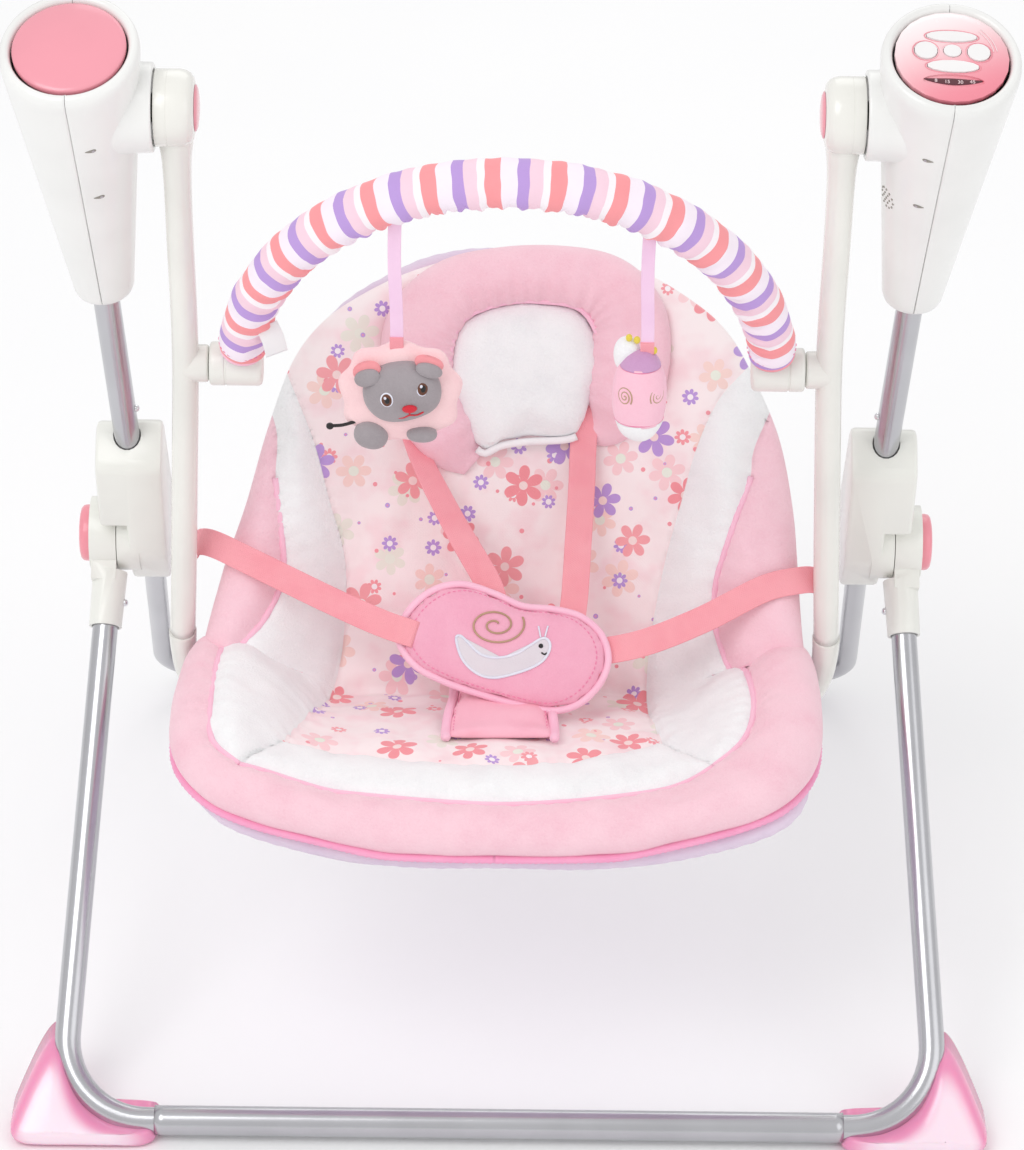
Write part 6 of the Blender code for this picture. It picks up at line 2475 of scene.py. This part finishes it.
@dataclass
class Details:
    """The swing's repeated small things: pins, screws, perforations drawn as dark discs of painted shadow,
    and stitches.
    """

    scatter: Scatter
    housings: Housings
    harness: Harness
    toy_bar: ToyBar

    def pins(self) -> None:
        """The chrome snap pins of the uprights and the front legs."""
        for name, start, end, distance, radius, body in (
            ("upright_pins", UPRIGHT_FOOT, UPRIGHT_TOP, 0.124, 0.0088, Body.STAND),
            ("leg_pins", LEG_TOP, FRONT_CORNER, 0.0505, 0.0119, Body.FRONT_FRAME),
        ):
            spots = [
                mirrored(side) @ (towards(start, end, distance) - Vector((radius, 0, 0))) for side in Side
            ]
            ways = np.array([(side.value, 0.0, 0.0) for side in Side])
            self.scatter.place(
                name, np.array(spots), ways, Shape.BEAD, (0.0026, 0.0026), Finish.CHROME, body, "steel", 0.0
            )

    def cone(
        self, name: str, spots: Sequence[tuple[Side, float, float]], size: tuple[float, float],
        finish: Finish, slot: str
    ) -> None:
        """Rods set in the housings' walls, each given by side, height and angle."""
        points, ways = [], []
        for side, height, angle in spots:
            frame = mirrored(side) @ upright_frame()
            spot, way = self.housings.on_cone(height, angle, 0.0002)
            points.append(frame @ Vector(spot))
            ways.append(frame.to_3x3() @ Vector(way))
        self.scatter.place(
            name, np.array(points), np.array(ways), Shape.ROD, size, finish, Body.STAND, slot, 0.03
        )

    def stitches(
        self, name: str, line: np.ndarray, finish: Finish, body: Body, slot: str, pitch: float = 0.0036
    ) -> None:
        """A row of stitches along a line."""
        row = evenly(line, max(4, int(run_of(line)[-1] / pitch)))
        self.scatter.place(
            name, row, np.gradient(row, axis=0), Shape.BEAD, (0.00042, 0.0012), finish, body, slot, 0.12
        )

    def build(self) -> None:
        """Makes all the repeated pieces."""
        self.pins()
        front = -math.pi / 2
        wells = [
            (side, height, front - turn)
            for side in Side
            for height, turn in ((0.1555, 0.32), (0.1080, 0.38))
        ]
        self.cone("housing_screws", wells, (0.0010, 0.0004), Finish.STEEL, "steel")
        # The speaker's perforations are dark discs of painted shadow on the wall, not holes.
        hole_shadows = []
        for ring, count in ((0.0, 1), (0.0036, 6), (0.0072, 12)):
            for index in range(count):
                turn = TAU * index / count
                hole_shadows.append(
                    (
                        Side.RIGHT, 0.098 + ring * math.sin(turn),
                        -math.pi + 0.42 + ring * math.cos(turn) / 0.031
                    )
                )
        self.cone("speaker_hole_shadows", hole_shadows, (0.00075, 0.0003), Finish.SHADOW, "white_plastic")
        loop = smooth_line(self.harness.belly, 240, closed=True)
        inset = loop + (loop.mean(0) - loop) * 0.11
        self.stitches(
            "belly_stitches", self.harness.on_belly(np.concatenate([inset, inset[:1]]), 0.0002),
            Finish.PINK_THREAD, Body.SWING, "pink_plush"
        )
        for side in Side:
            line = self.harness.tab_line(side, 0.118, 0.204, 0.0315, 0.0050)
            self.stitches(f"tab_stitches_{side.word}", line, Finish.PINK_THREAD, Body.SWING, "pink_plush")
            angle = np.full(60, 0.135) if side is Side.RIGHT else np.full(60, math.pi - 0.135)
            turn = np.linspace(0, TAU, 60)
            angles = angle + np.linspace(0, 1e-4, 60)
            ring = self.toy_bar.around(
                angles, turn[:, None], np.full((60, 1), self.toy_bar.radius + 0.0001)
            )[:, 0]
            self.stitches(
                f"sleeve_stitches_{side.word}", ring, Finish.PINK_THREAD, Body.TOY_BAR, "stripe_cloth"
            )


# ---------------------------------------------------------------- studio


@dataclass
class Studio:
    """The camera, the lights and the pale floor."""

    eye: tuple[float, float, float] = (0.0047, -2.3606, 1.8134)
    elevation: float = math.radians(33)
    roll: float = math.radians(0.65)
    lens: float = 126.66
    # The floor's half width and its height.
    reach: float = 6.0
    below: float = -0.0005

    def camera(self) -> None:
        """The camera, looking down at the seat from the front."""
        back = Vector((0, -math.cos(self.elevation), math.sin(self.elevation)))
        right = Vector((1, 0, 0))
        up = back.cross(right)
        cosine, sine = math.cos(self.roll), math.sin(self.roll)
        frame = Matrix((cosine * right + sine * up, cosine * up - sine * right, back)).transposed().to_4x4()
        frame.translation = Vector(self.eye)
        data = bpy.data.cameras.new("camera")
        data.lens = self.lens
        data.sensor_width = 36
        camera = linked("camera", data)
        camera.matrix_world = frame
        bpy.context.scene.camera = camera

    def light(self, name: str, spot: tuple[float, float, float], size: float, power: float) -> None:
        """A square soft light that looks at the seat."""
        data = bpy.data.lights.new(name, "AREA")
        data.size = size
        data.energy = power
        lamp = linked(name, data)
        lamp.location = spot
        lamp.rotation_mode = "QUATERNION"
        lamp.rotation_quaternion = (Vector(spot) - Vector((0, 0, 0.35))).to_track_quat("Z", "Y")

    def build(self) -> None:
        """Sets up the studio."""
        self.camera()
        self.light("key", (-1.3, -1.6, 2.6), 1.6, 24)
        self.light("fill", (2.0, -1.4, 1.5), 1.8, 7)
        self.light("back", (0.3, 2.2, 2.2), 1.8, 10)
        world = bpy.data.worlds.new("studio")
        world.use_nodes = True
        ground = world.node_tree.nodes["Background"]
        ground.inputs[0].default_value = (1.0, 1.0, 1.0, 1.0)
        ground.inputs[1].default_value = 0.8
        bpy.context.scene.world = world
        bpy.context.scene.view_settings.view_transform = "Standard"
        mesh = bpy.data.meshes.new("floor")
        turns = ((-1, -1), (1, -1), (1, 1), (-1, 1))
        corners = [(self.reach * x, self.reach * y, self.below) for x, y in turns]
        mesh.from_pydata(corners, [], [(0, 1, 2, 3)])
        made = Recipe("floor_pale", roughness=0.9)
        made.set(
            base_color=made.mix(made.noise(made.place(), 3, 2), srgb(252, 252, 252), srgb(249, 249, 250))
        )
        mesh.materials.append(made.material)
        linked("floor", mesh)


def main() -> None:
    """Builds every sub-assembly in order."""
    logging.basicConfig(level=logging.INFO, format="%(name)s %(message)s")
    finishes = Wardrobe()
    skin = Skin(finishes)
    Studio().build()
    Stand(finishes, skin).build()
    housings = Housings(finishes, skin)
    housings.build()
    SwingArms(finishes, skin).build()
    toy_bar = ToyBar(finishes, skin)
    toy_bar.build()
    Bear(
        finishes, skin, Body.BEAR, "grey_felt", (-0.068, -0.1291, 0.5), 0.627,
        (0.001, 0.0067, -0.006, 0.0253, 0.0105, 0.0212)
    ).build()
    Egg(
        finishes, skin, Body.EGG, "pink_plush", (0.085, -0.1251, 0.5), 0.619,
        (0.0, 0.0, 0.0, 0.0174, 0.0155, 0.0325)
    ).build()
    seat = Seat(finishes, skin)
    seat.build()
    harness = Harness(finishes, skin, seat)
    harness.build()
    Details(Scatter(finishes, skin), housings, harness, toy_bar).build()


if __name__ == "__main__":
    main()
